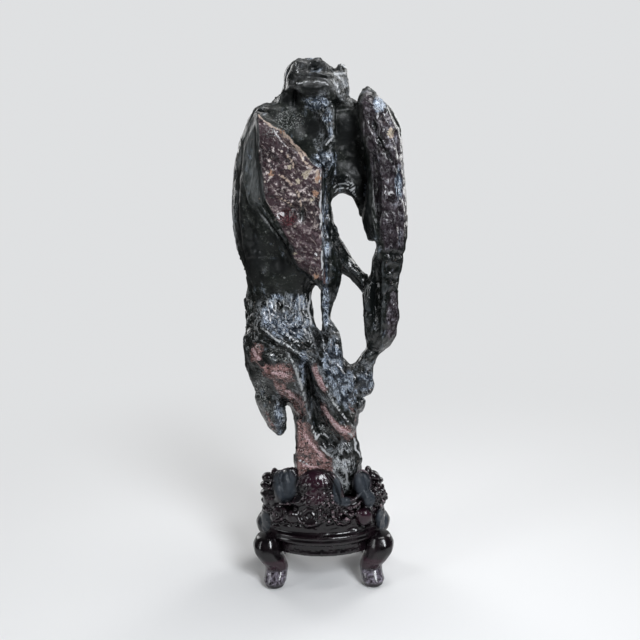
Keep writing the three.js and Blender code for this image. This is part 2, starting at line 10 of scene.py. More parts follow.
import bpy
import numpy as np
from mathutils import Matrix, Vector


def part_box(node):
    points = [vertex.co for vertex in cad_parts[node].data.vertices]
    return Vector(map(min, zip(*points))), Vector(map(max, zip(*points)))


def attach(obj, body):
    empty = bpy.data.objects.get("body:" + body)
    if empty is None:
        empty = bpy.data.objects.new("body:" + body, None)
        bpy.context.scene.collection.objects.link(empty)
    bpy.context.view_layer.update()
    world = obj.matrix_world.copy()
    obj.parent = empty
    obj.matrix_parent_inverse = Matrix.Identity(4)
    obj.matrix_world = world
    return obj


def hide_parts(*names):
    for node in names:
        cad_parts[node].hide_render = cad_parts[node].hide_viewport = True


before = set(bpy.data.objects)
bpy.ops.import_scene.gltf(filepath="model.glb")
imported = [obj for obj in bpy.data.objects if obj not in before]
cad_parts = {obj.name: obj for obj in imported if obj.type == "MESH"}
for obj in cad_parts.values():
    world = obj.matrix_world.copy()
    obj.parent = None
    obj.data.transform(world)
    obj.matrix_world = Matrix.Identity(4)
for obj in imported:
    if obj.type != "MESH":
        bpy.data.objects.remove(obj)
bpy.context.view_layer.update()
MM = 0.001

# %% [markdown]
# The stone is known best from its front, so its marks are placed on a front view: u to the right and v up,
# in millimetres, on the upright plane through the middle. A point in front of that plane or behind it is
# carried there along its line of sight. These values say where the eye is, and the camera stands at the
# same place.

# %% The front view
EYE_DISTANCE = 945.0
EYE_HEIGHT = 517.0
MIDDLE_X = -0.819
MIDDLE_Y = 1.279


def front_view(points):
    """Where points (mm) are seen on the front view: columns u, v, and the depth behind its plane."""
    depth = points[:, 1] - MIDDLE_Y
    share = EYE_DISTANCE / (EYE_DISTANCE + depth)
    u = (points[:, 0] - MIDDLE_X) * share
    v = EYE_HEIGHT + (points[:, 2] - EYE_HEIGHT) * share
    return np.stack([u, v, depth], axis=1)

# %% [markdown]
# The camera stands at the eye of the front view, about as high as the top of the stone, and looks a little
# down at it through a long lens. Its tilt and its lens were measured on the photograph, in pixels, and are
# turned into Blender's degrees and millimetres here.

# %% The camera
EYE_PITCH = 14.2
EYE_ROLL = 0.9
FRAME_PIXELS = 640
FOCAL_PIXELS = 962.0
SENSOR = 36.0
bpy.ops.object.camera_add(location=(MIDDLE_X * MM, (MIDDLE_Y - EYE_DISTANCE) * MM, EYE_HEIGHT * MM))
camera = bpy.context.object
camera.rotation_euler = (math.radians(90 - EYE_PITCH), 0, 0)
camera.rotation_euler.rotate_axis("Z", math.radians(-EYE_ROLL))
camera.data.sensor_width = SENSOR
camera.data.lens = FOCAL_PIXELS / FRAME_PIXELS * SENSOR
bpy.context.scene.camera = camera
print("lens in mm:", round(camera.data.lens, 1))

# %% [markdown]
# Sculpting needs many points, evenly spread. A voxel remesh gives them: it wraps the merged solid in small
# squares of one size, and a few rounds of smoothing take the flat facets out of it.

# %% Small helpers


def only(piece):
    """Selects this piece alone and makes it active."""
    bpy.ops.object.select_all(action="DESELECT")
    piece.select_set(True)
    bpy.context.view_layer.objects.active = piece
    return piece


def apply_modifier(piece, kind, **settings):
    """Adds one modifier with these settings and applies it."""
    only(piece)
    modifier = piece.modifiers.new(kind.lower(), kind)
    for name, value in settings.items():
        setattr(modifier, name, value)
    bpy.ops.object.modifier_apply(modifier=modifier.name)


def points_of(piece):
    """The piece's points in mm, one row each."""
    flat = np.empty(len(piece.data.vertices) * 3)
    piece.data.vertices.foreach_get("co", flat)
    return flat.reshape(-1, 3) / MM


def set_points(piece, points):
    """Puts the piece's points where the rows say, in mm."""
    piece.data.vertices.foreach_set("co", (points * MM).ravel())
    piece.data.update()


def normals_of(piece):
    """Which way the surface faces at each point."""
    flat = np.empty(len(piece.data.vertices) * 3)
    piece.data.vertex_normals.foreach_get("vector", flat)
    return flat.reshape(-1, 3)


def merged_copy(node, name):
    """A new piece with the shape of a solid of the frame, its triangles joined at their shared points."""
    piece = bpy.data.objects.new(name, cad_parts[node].data.copy())
    bpy.context.scene.collection.objects.link(piece)
    only(piece)
    bpy.ops.object.mode_set(mode="EDIT")
    bpy.ops.mesh.select_all(action="SELECT")
    bpy.ops.mesh.remove_doubles(threshold=1e-5)
    bpy.ops.object.mode_set(mode="OBJECT")
    return piece


def in_space(u, v, depth):
    """The place in mm of a point of the front view that lies at that depth."""
    share = (EYE_DISTANCE + depth) / EYE_DISTANCE
    return (u * share + MIDDLE_X, depth + MIDDLE_Y, EYE_HEIGHT + (v - EYE_HEIGHT) * share)


def slice_of(name, corners, thickness):
    """A flat piece with these corners (u, v, depth), extruded away from the eye."""
    bpy.ops.object.select_all(action="DESELECT")
    bpy.ops.mesh.primitive_circle_add(vertices=len(corners), fill_type="NGON")
    piece = bpy.context.object
    piece.name = name
    set_points(piece, np.array([in_space(*corner) for corner in corners]))
    bpy.ops.object.mode_set(mode="EDIT")
    bpy.ops.mesh.select_all(action="SELECT")
    bpy.ops.mesh.extrude_region_move(TRANSFORM_OT_translate={"value": (0, thickness * MM, 0)})
    bpy.ops.mesh.select_all(action="SELECT")
    bpy.ops.mesh.normals_make_consistent(inside=False)
    bpy.ops.object.mode_set(mode="OBJECT")
    return piece


def join(pieces):
    """Makes one piece of several; the first one keeps its name."""
    bpy.ops.object.select_all(action="DESELECT")
    for piece in pieces:
        piece.select_set(True)
    bpy.context.view_layer.objects.active = pieces[0]
    bpy.ops.object.join()
    return pieces[0]

# %% [markdown]
# The stone starts as a copy of its solid. Two thin flat pieces are joined to it where the neck turns from
# the head to the upper hollow: each is a disc with bent corners, extruded backwards. The remesh fuses them
# in without a seam.

# %% The stone, remeshed
STONE_VOXEL = 1.62
STONE_ROUNDS = 8
NECK_FACET = [
    (-19, 503, -9), (14, 499, -14), (18, 480, -17), (16, 462, -20), (11, 466, -18), (3, 480.5, -15),
    (-6, 492, -11),
]
NECK_FLOOR = [
    (-20, 498, -5), (-2, 490, -7), (4, 481, -9), (11, 467, -11), (12, 458, -12), (4, 452, -9), (-8, 462, -6),
    (-16, 478, -5),
]
FACET_THICKNESS = 14
FLOOR_THICKNESS = 12
neck_facet = slice_of("neck facet", NECK_FACET, FACET_THICKNESS)
neck_floor = slice_of("neck floor", NECK_FLOOR, FLOOR_THICKNESS)
stone = join([merged_copy("rock", "stone"), neck_facet, neck_floor])
apply_modifier(stone, "REMESH", mode="VOXEL", voxel_size=STONE_VOXEL * MM, adaptivity=0)
apply_modifier(stone, "SMOOTH", factor=0.5, iterations=STONE_ROUNDS)
print("points of the stone:", len(stone.data.vertices))

# %% [markdown]
# Noise in plain NumPy moves all points at once. It is lattice noise: random numbers sit on the corners of a
# grid, and each point mixes the eight around it. The random numbers have a fixed seed, so each run gives
# the same stone.

# %% Noise
LATTICE = 64
SEED = 7
lattice = np.random.default_rng(SEED).uniform(-1, 1, (LATTICE, LATTICE, LATTICE))


def noise(points, size, shift=0.0):
    """Smooth noise between -1 and 1 at points (mm), with lumps of that size."""
    place = points / size + shift
    cell = np.floor(place).astype(int)
    part = place - cell
    part = part * part * (3 - 2 * part)
    low, high = cell % LATTICE, (cell + 1) % LATTICE
    mixed = 0.0
    for corner in np.ndindex(2, 2, 2):
        pick = [high[:, axis] if side else low[:, axis] for axis, side in enumerate(corner)]
        weight = 1.0
        for axis, side in enumerate(corner):
            weight = weight * (part[:, axis] if side else 1 - part[:, axis])
        mixed = mixed + weight * lattice[pick[0], pick[1], pick[2]]
    return mixed


def lumps(points, size, shift=0.0, layers=3):
    """Round lumps with sharp valleys between them, each layer half the size of the last; 0 to about 1."""
    total = 0.0
    for layer in range(layers):
        total = total + np.abs(noise(points, size / 2**layer, shift + 3.7 * layer)) / 2**layer
    return total

# %% [markdown]
# Ridges and grooves are strokes: bent lines on the front view, each with a height and a half width. A round
# swelling or dent is a spot with two half sizes and a turn. A line that water has worn is never smooth, so
# the front view is shaken a little by noise before the strokes are laid on it.

# %% Strokes, spots and outlines


def distance_to_line(view, line):
    """How far each point of the front view is from a bent line, and how far along it, from 0 to 1."""
    best = np.full(len(view), 1e9)
    along = np.zeros(len(view))
    line = np.array(line, float)
    steps = np.diff(line, axis=0)
    lengths = np.linalg.norm(steps, axis=1)
    passed = 0.0
    for start, step, length in zip(line[:-1], steps, lengths):
        share = np.clip(((view - start) @ step) / length**2, 0, 1)
        away = np.linalg.norm(view - (start + share[:, None] * step), axis=1)
        closer = away < best
        best[closer] = away[closer]
        along[closer] = (passed + share[closer] * length) / lengths.sum()
        passed += length
    return best, along


def near(view, line, reach):
    """Which points of the front view lie within reach of a line's box."""
    line = np.array(line, float)
    low, high = line.min(axis=0) - reach, line.max(axis=0) + reach
    return np.flatnonzero(((view[:, :2] >= low) & (view[:, :2] <= high)).all(axis=1))


def stroke(view, height, width, line):
    """A ridge (a groove with a minus) with a sharp crest and thin ends."""
    result = np.zeros(len(view))
    chosen = near(view, line, width)
    distance, along = distance_to_line(view[chosen, :2], line)
    crest = np.clip(1 - distance / width, 0, 1)
    ends = np.clip(np.minimum(along, 1 - along) * 8 + 0.25, 0, 1)
    result[chosen] = height * crest * crest * (1.6 - 0.6 * crest) * ends
    return result


def spot(view, height, middle, half_sizes, turn=0.0):
    """A round swelling, or a dent with a minus."""
    angle = math.radians(turn)
    across, up = view[:, 0] - middle[0], view[:, 1] - middle[1]
    along = (across * math.cos(angle) + up * math.sin(angle)) / half_sizes[0]
    aside = (up * math.cos(angle) - across * math.sin(angle)) / half_sizes[1]
    return height * np.clip(1 - along**2 - aside**2, 0, 1) ** 1.5


def inside(view, outline, soft):
    """1 inside an outline of the front view and 0 outside, mixed over the soft width."""
    result = np.zeros(len(view))
    outline = np.array(outline, float)
    chosen = near(view, outline, soft)
    spots = view[chosen, :2]
    crossings = np.zeros(len(spots), int)
    for (u0, v0), (u1, v1) in zip(outline, np.roll(outline, -1, axis=0)):
        if v0 == v1:
            continue
        between = (spots[:, 1] > min(v0, v1)) & (spots[:, 1] <= max(v0, v1))
        crossings += between & (spots[:, 0] < u0 + (spots[:, 1] - v0) * (u1 - u0) / (v1 - v0))
    edge, _ = distance_to_line(spots, np.vstack([outline, outline[:1]]))
    signed = np.where(crossings % 2 == 1, edge, -edge)
    result[chosen] = np.clip(signed / soft * 0.5 + 0.5, 0, 1)
    return result


def shaken_view(view, amount, size, shifts):
    """The front view with its points moved a little to the side and up by noise."""
    result = view.copy()
    for axis, shift in enumerate(shifts):
        result[:, axis] += amount * noise(view, size, shift)
    return result


def fan(first, last, count):
    """Lines that change evenly from the first to the last, which have equally many points."""
    first, last = np.array(first, float), np.array(last, float)
    return [first + (last - first) * step / (count - 1) for step in range(count)]

# %% [markdown]
# The sculpture keeps the stone's points, their normals and their places on the front view together. Marks
# of the front belong to the surface that the eye sees: it faces the eye, and nothing else of the stone
# stands before it. A coarse depth map of the front view tells that.

# %% The sculpture
DEPTH_CELL = 3.0
DEPTH_SLACK = 9.0


class Sculpture:
    """A piece while it is worked on."""

    def __init__(self, piece):
        self.piece = piece
        edges = np.empty(len(piece.data.edges) * 2, int)
        piece.data.edges.foreach_get("vertices", edges)
        self.edges = edges.reshape(-1, 2)
        self.refresh()

    def refresh(self):
        self.points = points_of(self.piece)
        self.normals = normals_of(self.piece)
        self.view = front_view(self.points)
        to_eye = np.array([MIDDLE_X, MIDDLE_Y - EYE_DISTANCE, EYE_HEIGHT]) - self.points
        to_eye /= np.linalg.norm(to_eye, axis=1)[:, None]
        facing = (self.normals * to_eye).sum(axis=1)
        cell = np.floor(self.view[:, :2] / DEPTH_CELL).astype(int)
        cell -= cell.min(axis=0)
        nearest = np.full(cell.max(axis=0) + 1, 1e9)
        np.minimum.at(nearest, (cell[:, 0], cell[:, 1]), self.view[:, 2])
        behind = self.view[:, 2] - nearest[cell[:, 0], cell[:, 1]]
        unhidden = np.clip((DEPTH_SLACK * 2 - behind) / DEPTH_SLACK, 0, 1)
        self.front = np.clip(facing * 4 + 0.4, 0, 1) * unhidden

    def push(self, amount):
        """Moves every point out along its normal by amount (mm); a minus goes in."""
        set_points(self.piece, self.points + self.normals * amount[:, None])
        self.refresh()

    def spread(self, values, rounds):
        """The values, each mixed with its neighbours' as many times as rounds says."""
        count = len(self.points)
        first, second = self.edges[:, 0], self.edges[:, 1]
        neighbours = np.bincount(first, minlength=count) + np.bincount(second, minlength=count)
        columns = values.reshape(count, -1).astype(float)
        for _ in range(rounds):
            mixed = np.empty_like(columns)
            for index, column in enumerate(columns.T):
                total = np.bincount(first, column[second], count) + np.bincount(second, column[first], count)
                mixed[:, index] = 0.5 * column + 0.5 * total / neighbours
            columns = mixed
        return columns.reshape(values.shape)

    def height_above(self, rounds):
        """How far each point stands out from the surface around it, in mm; a minus lies in a hollow."""
        return ((self.points - self.spread(self.points, rounds)) * self.normals).sum(axis=1)


SHRINKAGE = 0.45
work = Sculpture(stone)
work.push(np.full(len(work.points), SHRINKAGE))

# %% [markdown]
# Water and wind leave a grain in such a stone: wrinkles run along its limbs and part round its holes. A flow
# field holds that direction. It is mixed from listed flow lines, and kept on a coarse grid, where it is quick
# to read.

# %% The flow of the stone
FLOW_LINES = [
    [(-22, 528), (-30, 512), (-38, 492), (-58, 470), (-70, 440), (-76, 400), (-72, 360), (-68, 320)],
    [(-4, 512), (14, 508), (22, 496), (14, 480), (14, 462), (6, 446)],
    [(22, 525), (27, 512), (27, 498), (38, 488)],
    [(-50, 470), (-30, 440), (-16, 410), (-8, 370), (-2, 325)],
    [(-64, 470), (-60, 420), (-46, 380), (-28, 350)],
    [(34, 480), (30, 450), (34, 425), (46, 400), (52, 370)],
    [(50, 500), (62, 470), (72, 430), (78, 390), (76, 350), (70, 310), (66, 260), (56, 240), (48, 220)],
    [(14, 420), (9, 390), (10, 360), (22, 340), (44, 318)],
    [(10, 340), (8, 300), (6, 280), (14, 255), (12, 235)],
    [(-66, 310), (-52, 280), (-30, 256), (-6, 238), (8, 208), (20, 180), (32, 160)],
    [(-20, 300), (-14, 270), (2, 246), (16, 220), (28, 196), (36, 176)],
    [(-70, 250), (-62, 225), (-54, 200), (-48, 170), (-44, 154)],
    [(-40, 246), (-28, 226), (-20, 200), (-14, 172), (-6, 152), (10, 134), (20, 112), (26, 90)],
    [(-44, 215), (-30, 192), (-20, 172), (-18, 140), (-20, 110)],
    [(40, 220), (44, 200), (34, 180), (36, 150), (40, 128), (36, 100)],
]
FLOW_CELL = 3.0
FLOW_LOW = np.array([-99.0, 60.0])
FLOW_HIGH = np.array([99.0, 546.0])
FLOW_BLEND = 25.0


def flow_grid():
    """The flow on a grid, as cosine and sine of twice its angle, so that up and down are alike."""
    u = np.arange(FLOW_LOW[0], FLOW_HIGH[0], FLOW_CELL)
    v = np.arange(FLOW_LOW[1], FLOW_HIGH[1], FLOW_CELL)
    places = np.stack(np.meshgrid(u, v, indexing="ij"), axis=-1)
    doubled = np.zeros(places.shape)
    for line in FLOW_LINES:
        line = np.array(line, float)
        for start, stop in zip(line[:-1], line[1:]):
            angle = 2 * math.atan2(stop[1] - start[1], stop[0] - start[0])
            away = ((places - (start + stop) / 2) ** 2).sum(axis=-1)
            doubled += np.array([math.cos(angle), math.sin(angle)]) / (FLOW_BLEND + away[..., None]) ** 2
    return doubled / np.linalg.norm(doubled, axis=-1, keepdims=True)


flow = flow_grid()


def flow_direction(view):
    """Which way the grain runs at each point of the front view."""
    cell = np.clip((view[:, :2] - FLOW_LOW) / FLOW_CELL, 0, np.array(flow.shape[:2]) - 2)
    low = cell.astype(int)
    part = (cell - low)[:, :, None]
    rows, columns = low[:, 0], low[:, 1]
    left = flow[rows, columns] * (1 - part[:, 1]) + flow[rows, columns + 1] * part[:, 1]
    right = flow[rows + 1, columns] * (1 - part[:, 1]) + flow[rows + 1, columns + 1] * part[:, 1]
    doubled = left * (1 - part[:, 0]) + right * part[:, 0]
    angle = np.arctan2(doubled[:, 1], doubled[:, 0]) / 2
    return np.stack([np.cos(angle), np.sin(angle)], axis=1)


STREAK_STEPS = 5


def streaks(view, size, reach, shift=0.0):
    """Noise drawn out along the flow: its mean at steps up and down stream of each point."""
    total = noise(view, size, shift)
    for way in (1, -1):
        place = view.copy()
        heading = flow_direction(place) * way
        for _ in range(STREAK_STEPS):
            place[:, :2] += heading * reach / STREAK_STEPS
            ahead = flow_direction(place)
            heading = ahead * np.where((ahead * heading).sum(axis=1) < 0, -1, 1)[:, None]
            total = total + noise(place, size, shift)
    return total / math.sqrt(2 * STREAK_STEPS + 1)


print("flow grid:", flow.shape)

# %% [markdown]
# The stone's front falls into regions, each with its own relief and colour: a flat purple facet with a
# bevel beside it, smooth dark hollows, a mauve arm on the right, a wet-looking lower body and salmon-pink
# patches. Their outlines are drawn once here, and both the relief and the colours use them.

# %% Outlines of the stone's regions
SLAB = [
    (-57, 482), (-50, 475), (-40, 470), (-33, 465), (-26, 459), (-20, 452), (-12, 443), (-5, 434), (4, 430),
    (3, 400), (3, 350), (4, 318), (-6, 322), (-20, 332), (-27, 346), (-30, 360), (-38, 376), (-45, 388),
    (-51, 399), (-53, 412), (-54, 428), (-57, 440), (-55.5, 465),
]
BEVEL = [
    (-59, 481), (-56, 468), (-57.5, 440), (-54.5, 425), (-53, 404), (-58, 398), (-66, 404), (-72, 412),
    (-74, 440), (-70, 470), (-64, 480),
]
ARM_FACE = [
    (48, 503), (62, 492), (76, 470), (83, 450), (84, 425), (87, 400), (87, 370), (83, 345), (80, 300),
    (79, 262), (64, 244), (63, 290), (64, 350), (60, 375), (55, 400), (53, 430), (48, 452), (43, 470),
    (43, 492),
]
RIGHT_HOLLOW = [
    (20, 490), (40, 487), (43, 470), (46, 455), (52, 435), (54, 405), (58, 380), (46, 366), (43, 390),
    (36, 408), (30, 422), (16, 424), (17, 450), (17, 480),
]
UPPER_HOLLOW = [
    (-28, 503), (-12, 500), (-2, 486), (6, 474), (11, 463), (8, 452), (-3, 444), (-14, 447), (-24, 459),
    (-40, 471), (-52, 479), (-44, 492), (-34, 494),
]
LEFT_HOLLOW = [
    (-79, 440), (-72, 410), (-62, 398), (-48, 376), (-33, 354), (-26, 338), (-14, 326), (-18, 313),
    (-28, 306), (-40, 314), (-53, 304), (-64, 314), (-74, 308), (-80, 345), (-83, 390),
]
CROWN = [
    (-32, 496), (-28, 515), (-20, 530), (-8, 538), (6, 540), (16, 530), (28, 534), (31, 518), (18, 516),
    (14, 500), (0, 494), (-14, 500),
]
WET_SIDE = [
    (-60, 302), (-40, 306), (-20, 308), (-12, 300), (-11, 270), (-2, 252), (6, 258), (16, 262), (20, 250),
    (21, 226), (30, 222), (44, 232), (53, 222), (54, 204), (44, 190), (38, 172), (33, 162), (22, 175),
    (8, 200), (-4, 228), (-8, 235), (-20, 242), (-38, 252), (-56, 268),
]
SALMON_PATCHES = [
    [(-71, 245), (-66, 254), (-60, 252), (-60, 244), (-62, 236), (-68, 233), (-72, 238)],
    [(-62, 232), (-52, 230), (-42, 231), (-32, 231), (-27, 222), (-27, 214), (-36, 212), (-44, 214),
     (-52, 217), (-59, 222)],
    [(-48, 212), (-38, 208), (-30, 200), (-22, 198), (-16, 190), (-17, 176), (-22, 172), (-28, 180),
     (-33, 190), (-41, 197)],
    [(-60, 180), (-56, 180), (-49, 162), (-50, 156), (-54, 160), (-58, 170)],
    [(-26, 168), (-14, 168), (-10, 155), (-4, 143), (3, 135), (10, 128), (11, 112), (-4, 115), (-14, 114),
     (-22, 107), (-28, 112), (-27, 135), (-26, 155)],
    [(-9, 229), (-5, 231), (0, 218), (6, 204), (4, 199), (-2, 206)],
    [(-1, 190), (3, 188), (12, 172), (22, 160), (24, 152), (18, 152), (8, 163), (2, 176)],
    [(20, 160), (28, 164), (34, 158), (34, 150), (27, 147), (21, 151)],
]

# %% [markdown]
# Water has rubbed the hollows, the facet, the bevel and the crown smooth. Smoothing their points many times
# does the same, and fades out over a soft border.

# %% Worn hollows
MUZZLE = [(-22, 512), (-10, 513), (8, 511), (15, 503), (13, 494), (2, 495), (-10, 499), (-20, 505)]
REGIONS_WORN = [
    (UPPER_HOLLOW, 8.0, 40), (RIGHT_HOLLOW, 6.0, 20), (LEFT_HOLLOW, 8.0, 10), (BEVEL, 4.0, 10),
    (SLAB, 3.0, 8), (MUZZLE, 4.0, 10), (CROWN, 6.0, 6),
]


def wear(sculpture, outline, soft, rounds):
    """Smooths the surface inside an outline of the front."""
    share = (inside(sculpture.view, outline, soft) * sculpture.front)[:, None]
    smooth = sculpture.spread(sculpture.points, rounds)
    set_points(sculpture.piece, sculpture.points * (1 - share) + smooth * share)
    sculpture.refresh()


for outline, soft, rounds in REGIONS_WORN:
    wear(work, outline, soft, rounds)
print("regions worn:", len(REGIONS_WORN))

# %% [markdown]
# Next come the swellings and dents that give each region its body: the brow and the muzzle of the head, the
# bulges of the arm, the lobes of the lower body. Sculpting brushes would do, but a list of spots can be
# read and corrected.

# %% Swellings and dents of the front
SPOTS = [
    (-3.2, (-1, 525), (10, 5.0), 8), (2.2, (9, 525.5), (3.4, 4.6), 20), (-1.6, (8.2, 526), (1.7, 2.4), 20),
    (2.4, (2, 533.5), (5, 3.4), 0), (1.8, (-13, 530), (6, 4), 0), (-1.8, (-6, 534), (3, 3), 0),
    (-2.6, (-14, 524.4), (6, 1.7), 2), (1.6, (-15, 521), (3.4, 2.0), 0), (-1.2, (-4, 517), (20, 3.0), -3),
    (-2.2, (-21, 511), (2.0, 1.8), 0), (1.2, (3, 503.5), (13, 6), -10), (-5.5, (-21, 497), (7.5, 10), 0),
    (2.0, (24, 525.5), (4.2, 3.6), 0), (-3.0, (17.8, 523), (3.6, 2.6), -20),
    (-1.4, (24, 526.5), (1.7, 1.4), 0), (-2.5, (20, 496), (4.5, 3.2), 30), (1.5, (29, 515), (3, 5), 0),
    (-2.0, (-30, 503), (3, 6), 0), (-2.2, (31, 450), (14, 16), 0), (-2.0, (28, 436), (8, 6), 0),
    (-2.4, (-33, 386), (11, 12), -40), (-3.2, (-16, 385), (4.5, 11), 8), (-1.5, (-46, 402), (5, 5), 0),
    (-2.5, (-68, 372), (9, 30), 4), (-2.0, (-45, 342), (12, 14), -30), (2.0, (-66, 350), (7, 9), 20),
    (-3.2, (75, 345), (11, 5), -5), (-1.8, (70, 331), (5, 4), 0), (-1.8, (76, 317), (4, 5), 0),
    (-1.8, (70, 304), (5, 4), 0), (1.4, (71, 463), (4, 8), -20), (1.2, (74, 270), (5, 16), 0),
    (-2.0, (17, 354), (4.5, 10), 12), (2.2, (27, 157), (8, 7), -30), (1.6, (-45, 222), (17, 8), 12),
    (1.6, (-34, 199), (11, 7), -38), (1.6, (-23, 184), (6, 10), 20), (-2.2, (-46, 243), (13, 8), -20),
    (-2.2, (-58, 207), (9, 12), -30), (1.2, (-66, 243), (6, 9), 0), (2.0, (50, 239), (5, 4), 0),
    (2.2, (44, 233), (4.2, 4), 0), (-2.2, (47, 228.5), (6, 2.4), -20), (2.0, (48, 215), (6, 8), -20),
    (-2.0, (41, 205), (3.4, 9), -12), (2.0, (41, 186), (5, 4.4), 20), (-1.8, (38, 193.5), (6, 2), -25),
    (2.0, (33, 208), (5, 12), -20), (-2.0, (26, 200), (2.6, 12), -25), (-4.0, (3, 144), (8.5, 4.2), -38),
    (1.8, (-14, 150), (8, 12), 0), (1.2, (-16, 116), (9, 5), 0), (-2.0, (24, 146), (6, 7), -30),
    (-1.6, (-20, 250), (10, 5), -20), (-2.4, (-38, 190), (4, 10), -35), (1.6, (-54, 285), (6, 14), 0),
    (-1.6, (-44, 285), (3, 14), 4), (1.4, (-36, 285), (4, 14), 4), (-1.8, (-29, 290), (3, 12), 0),
    (-2.0, (36, 432), (6, 9), 20), (1.6, (24, 447), (5, 5), 0), (1.4, (35, 452), (5, 5), 0),
]
shaken = shaken_view(work.view, 1.3, 8.0, (2.1, 9.4))
swelling = sum(spot(shaken, *values) for values in SPOTS)
work.push(swelling * work.front)
print("spots:", len(SPOTS))

# %% [markdown]
# Then lumps and wrinkles go over the whole stone. Each region has its own share of them: the flat facet on
# the left has hardly any, and the wet-looking side below has most. The sides and the back have smooth
# places too, which noise chooses. Lumps are noise without its sign and never below 0, so their middle value
# is taken off and the stone keeps its size. The flanks, which the eye sees at a low angle, get scoops as
# well.

# %% Shares of the relief
LUMP_MIDDLE = 0.45
view = work.view
slab = inside(view, SLAB, 3.0) * work.front
bevel = inside(view, BEVEL, 4.0) * work.front
dark_hollows = [
    inside(view, UPPER_HOLLOW, 6.0), inside(view, LEFT_HOLLOW, 10.0), 0.6 * inside(view, RIGHT_HOLLOW, 6.0),
    0.6 * inside(view, CROWN, 6.0),
]
hollow = np.clip(sum(dark_hollows), 0, 1) * work.front
wet = inside(view, WET_SIDE, 5.0) * work.front
arm = inside(view, ARM_FACE, 4.0) * work.front


def quiet_behind(sculpture):
    """1 in the smooth places of the sides and the back, 0 in their wrinkled places and all over the front."""
    pattern = noise(sculpture.points * (1, 1, 0.7), 44.0, 3.3)
    return np.clip(2.6 * pattern + 0.65, 0, 1) * (1 - sculpture.front)


rough_share = np.clip(1 - slab * 0.9 - bevel * 0.85 - hollow * 0.85 - 0.8 * quiet_behind(work), 0.05, 1)
print("mean share of the relief:", round(float(rough_share.mean()), 2))

# %% Lumps and wrinkles all over
broad = lumps(work.points, 17.0, 1.3, 2) - LUMP_MIDDLE
drawn = np.abs(streaks(view, 5.5, 20.0, 5.0)) - 0.35
work.push(rough_share * (1.5 * broad + 1.5 * drawn * (1 + 0.5 * wet)))
fine = np.abs(streaks(view, 3.4, 9.0, 11.0)) - 0.3
work.push(rough_share * 0.6 * fine + 0.35 * (arm + wet) * (lumps(work.points, 5.0, 6.0, 2) - LUMP_MIDDLE))
arm_bulges = lumps(work.points, 11.0, 15.0, 2) - LUMP_MIDDLE
slab_bulges = lumps(work.points, 6.0, 9.0, 2) - LUMP_MIDDLE
work.push(1.5 * arm * arm_bulges + 0.8 * slab * slab_bulges)
print("wrinkles over", len(work.points), "points")

# %% Scoops in the flanks
SCOOP_DEPTH = 4.0
flank = np.clip(np.abs(work.normals[:, 0]) * 2.5 - 1.0, 0, 1) * (1 - work.front)
scoops = np.clip(noise(work.points * (1, 1, 0.4), 11.0, 31.0) + 0.1, 0, 1)
work.push(-SCOOP_DEPTH * flank * scoops)
print("scooped points:", int((flank * scoops > 0).sum()))

# %% [markdown]
# Now the strokes, region by region from the head down: the ledges and furrows that make this stone look
# like a crouching figure. Where several wrinkles run side by side, a fan draws all of them from its first
# and last line.

# %% Strokes of the head and the neck
HEAD = [
    (1.1, 1.7, [(-24, 515), (-21, 512), (-17, 510.5), (-10, 512.5), (0, 513), (8, 511), (13, 507),
                (16, 502)]),
    (1.2, 1.6, [(-18, 531), (-18.6, 525), (-18, 518)]),
    (1.8, 2.4, [(-10, 525), (-6, 529), (-1, 531), (4, 530.5), (9, 527), (10, 522)]),
    (1.6, 2.0, [(-20, 520), (-12, 519.6), (0, 520), (8, 519.2)]),
    (1.9, 2.4, [(-30, 499), (-28, 505), (-24, 507.4), (-18, 506.5), (-14, 503), (-10, 498)]),
    (1.0, 1.6, [(-23, 504), (-23, 498), (-24, 490)]), (1.0, 1.6, [(-17.5, 503), (-18, 497), (-17, 490)]),
    (-1.4, 2.0, [(-20.5, 505), (-20.5, 497), (-20.5, 489)]),
    (1.6, 2.2, [(14, 526), (17, 520), (22, 519.5), (28, 522)]),
    (-1.6, 2.0, [(13, 517), (18, 514.5), (22, 509.5), (23, 503)]),
    (-1.8, 2.4, [(12, 500), (14, 494), (20, 491), (25, 492)]),
    (1.2, 1.6, [(3, 503), (8, 504), (12, 500), (14, 492)]),
    (1.0, 2.6, [(-8, 497), (-3, 489.5), (3, 481), (8, 474), (11.5, 466), (14, 458)]),
    (1.4, 2.2, [(13, 493), (16, 485), (16.5, 475), (15, 465), (16, 459)]),
    (0.9, 1.5, [(-2, 496), (2, 488), (6, 480)]), (0.9, 1.5, [(5, 495), (8, 486), (11, 477), (13, 468)]),
    (0.9, 1.5, [(10, 490), (12, 480), (14, 470)]),
    (-1.8, 2.6, [(21, 490), (19, 482), (19.5, 473), (18.5, 464)]),
    (1.1, 1.5, [(16, 464), (15, 459), (11, 455), (7, 452)]),
    (1.1, 1.5, [(18, 461), (16, 455), (11, 450), (10, 445)]),
]
CHEEK = fan(
    [(5, 518.5), (10, 517), (14, 512), (16, 506), (16.5, 499), (19, 492), (26, 487)],
    [(22, 520.5), (27, 518), (30, 513), (29.5, 507), (29, 501), (31.5, 496), (38, 490.5)],
    7,
)
CRYSTALS = [
    [(16, 450), (8, 446), (-3, 443)],
    [(14, 446), (7, 440), (1, 437)],
    [(12, 448), (12, 440), (10, 431)],
    [(17, 449), (18, 441), (16, 434)],
    [(3, 449), (6, 442), (13, 436)],
    [(-3, 442), (3, 438), (9, 431)],
]


def strokes(sculpture, wobble, groups):
    """Lays all the strokes of the groups on the front; wobble (mm) shakes their lines."""
    place = shaken_view(sculpture.view, wobble, 5.0, (4.3, 12.0))
    amount = sum(stroke(place, *values) for group in groups for values in group)
    sculpture.push(amount * sculpture.front)


strokes(work, 0.6, [
    [(1.4 * height, width, line) for height, width, line in HEAD],
    [(1.8, 1.6, line) for line in CHEEK],
    [(2.2, 2.1, line) for line in CRYSTALS],
])

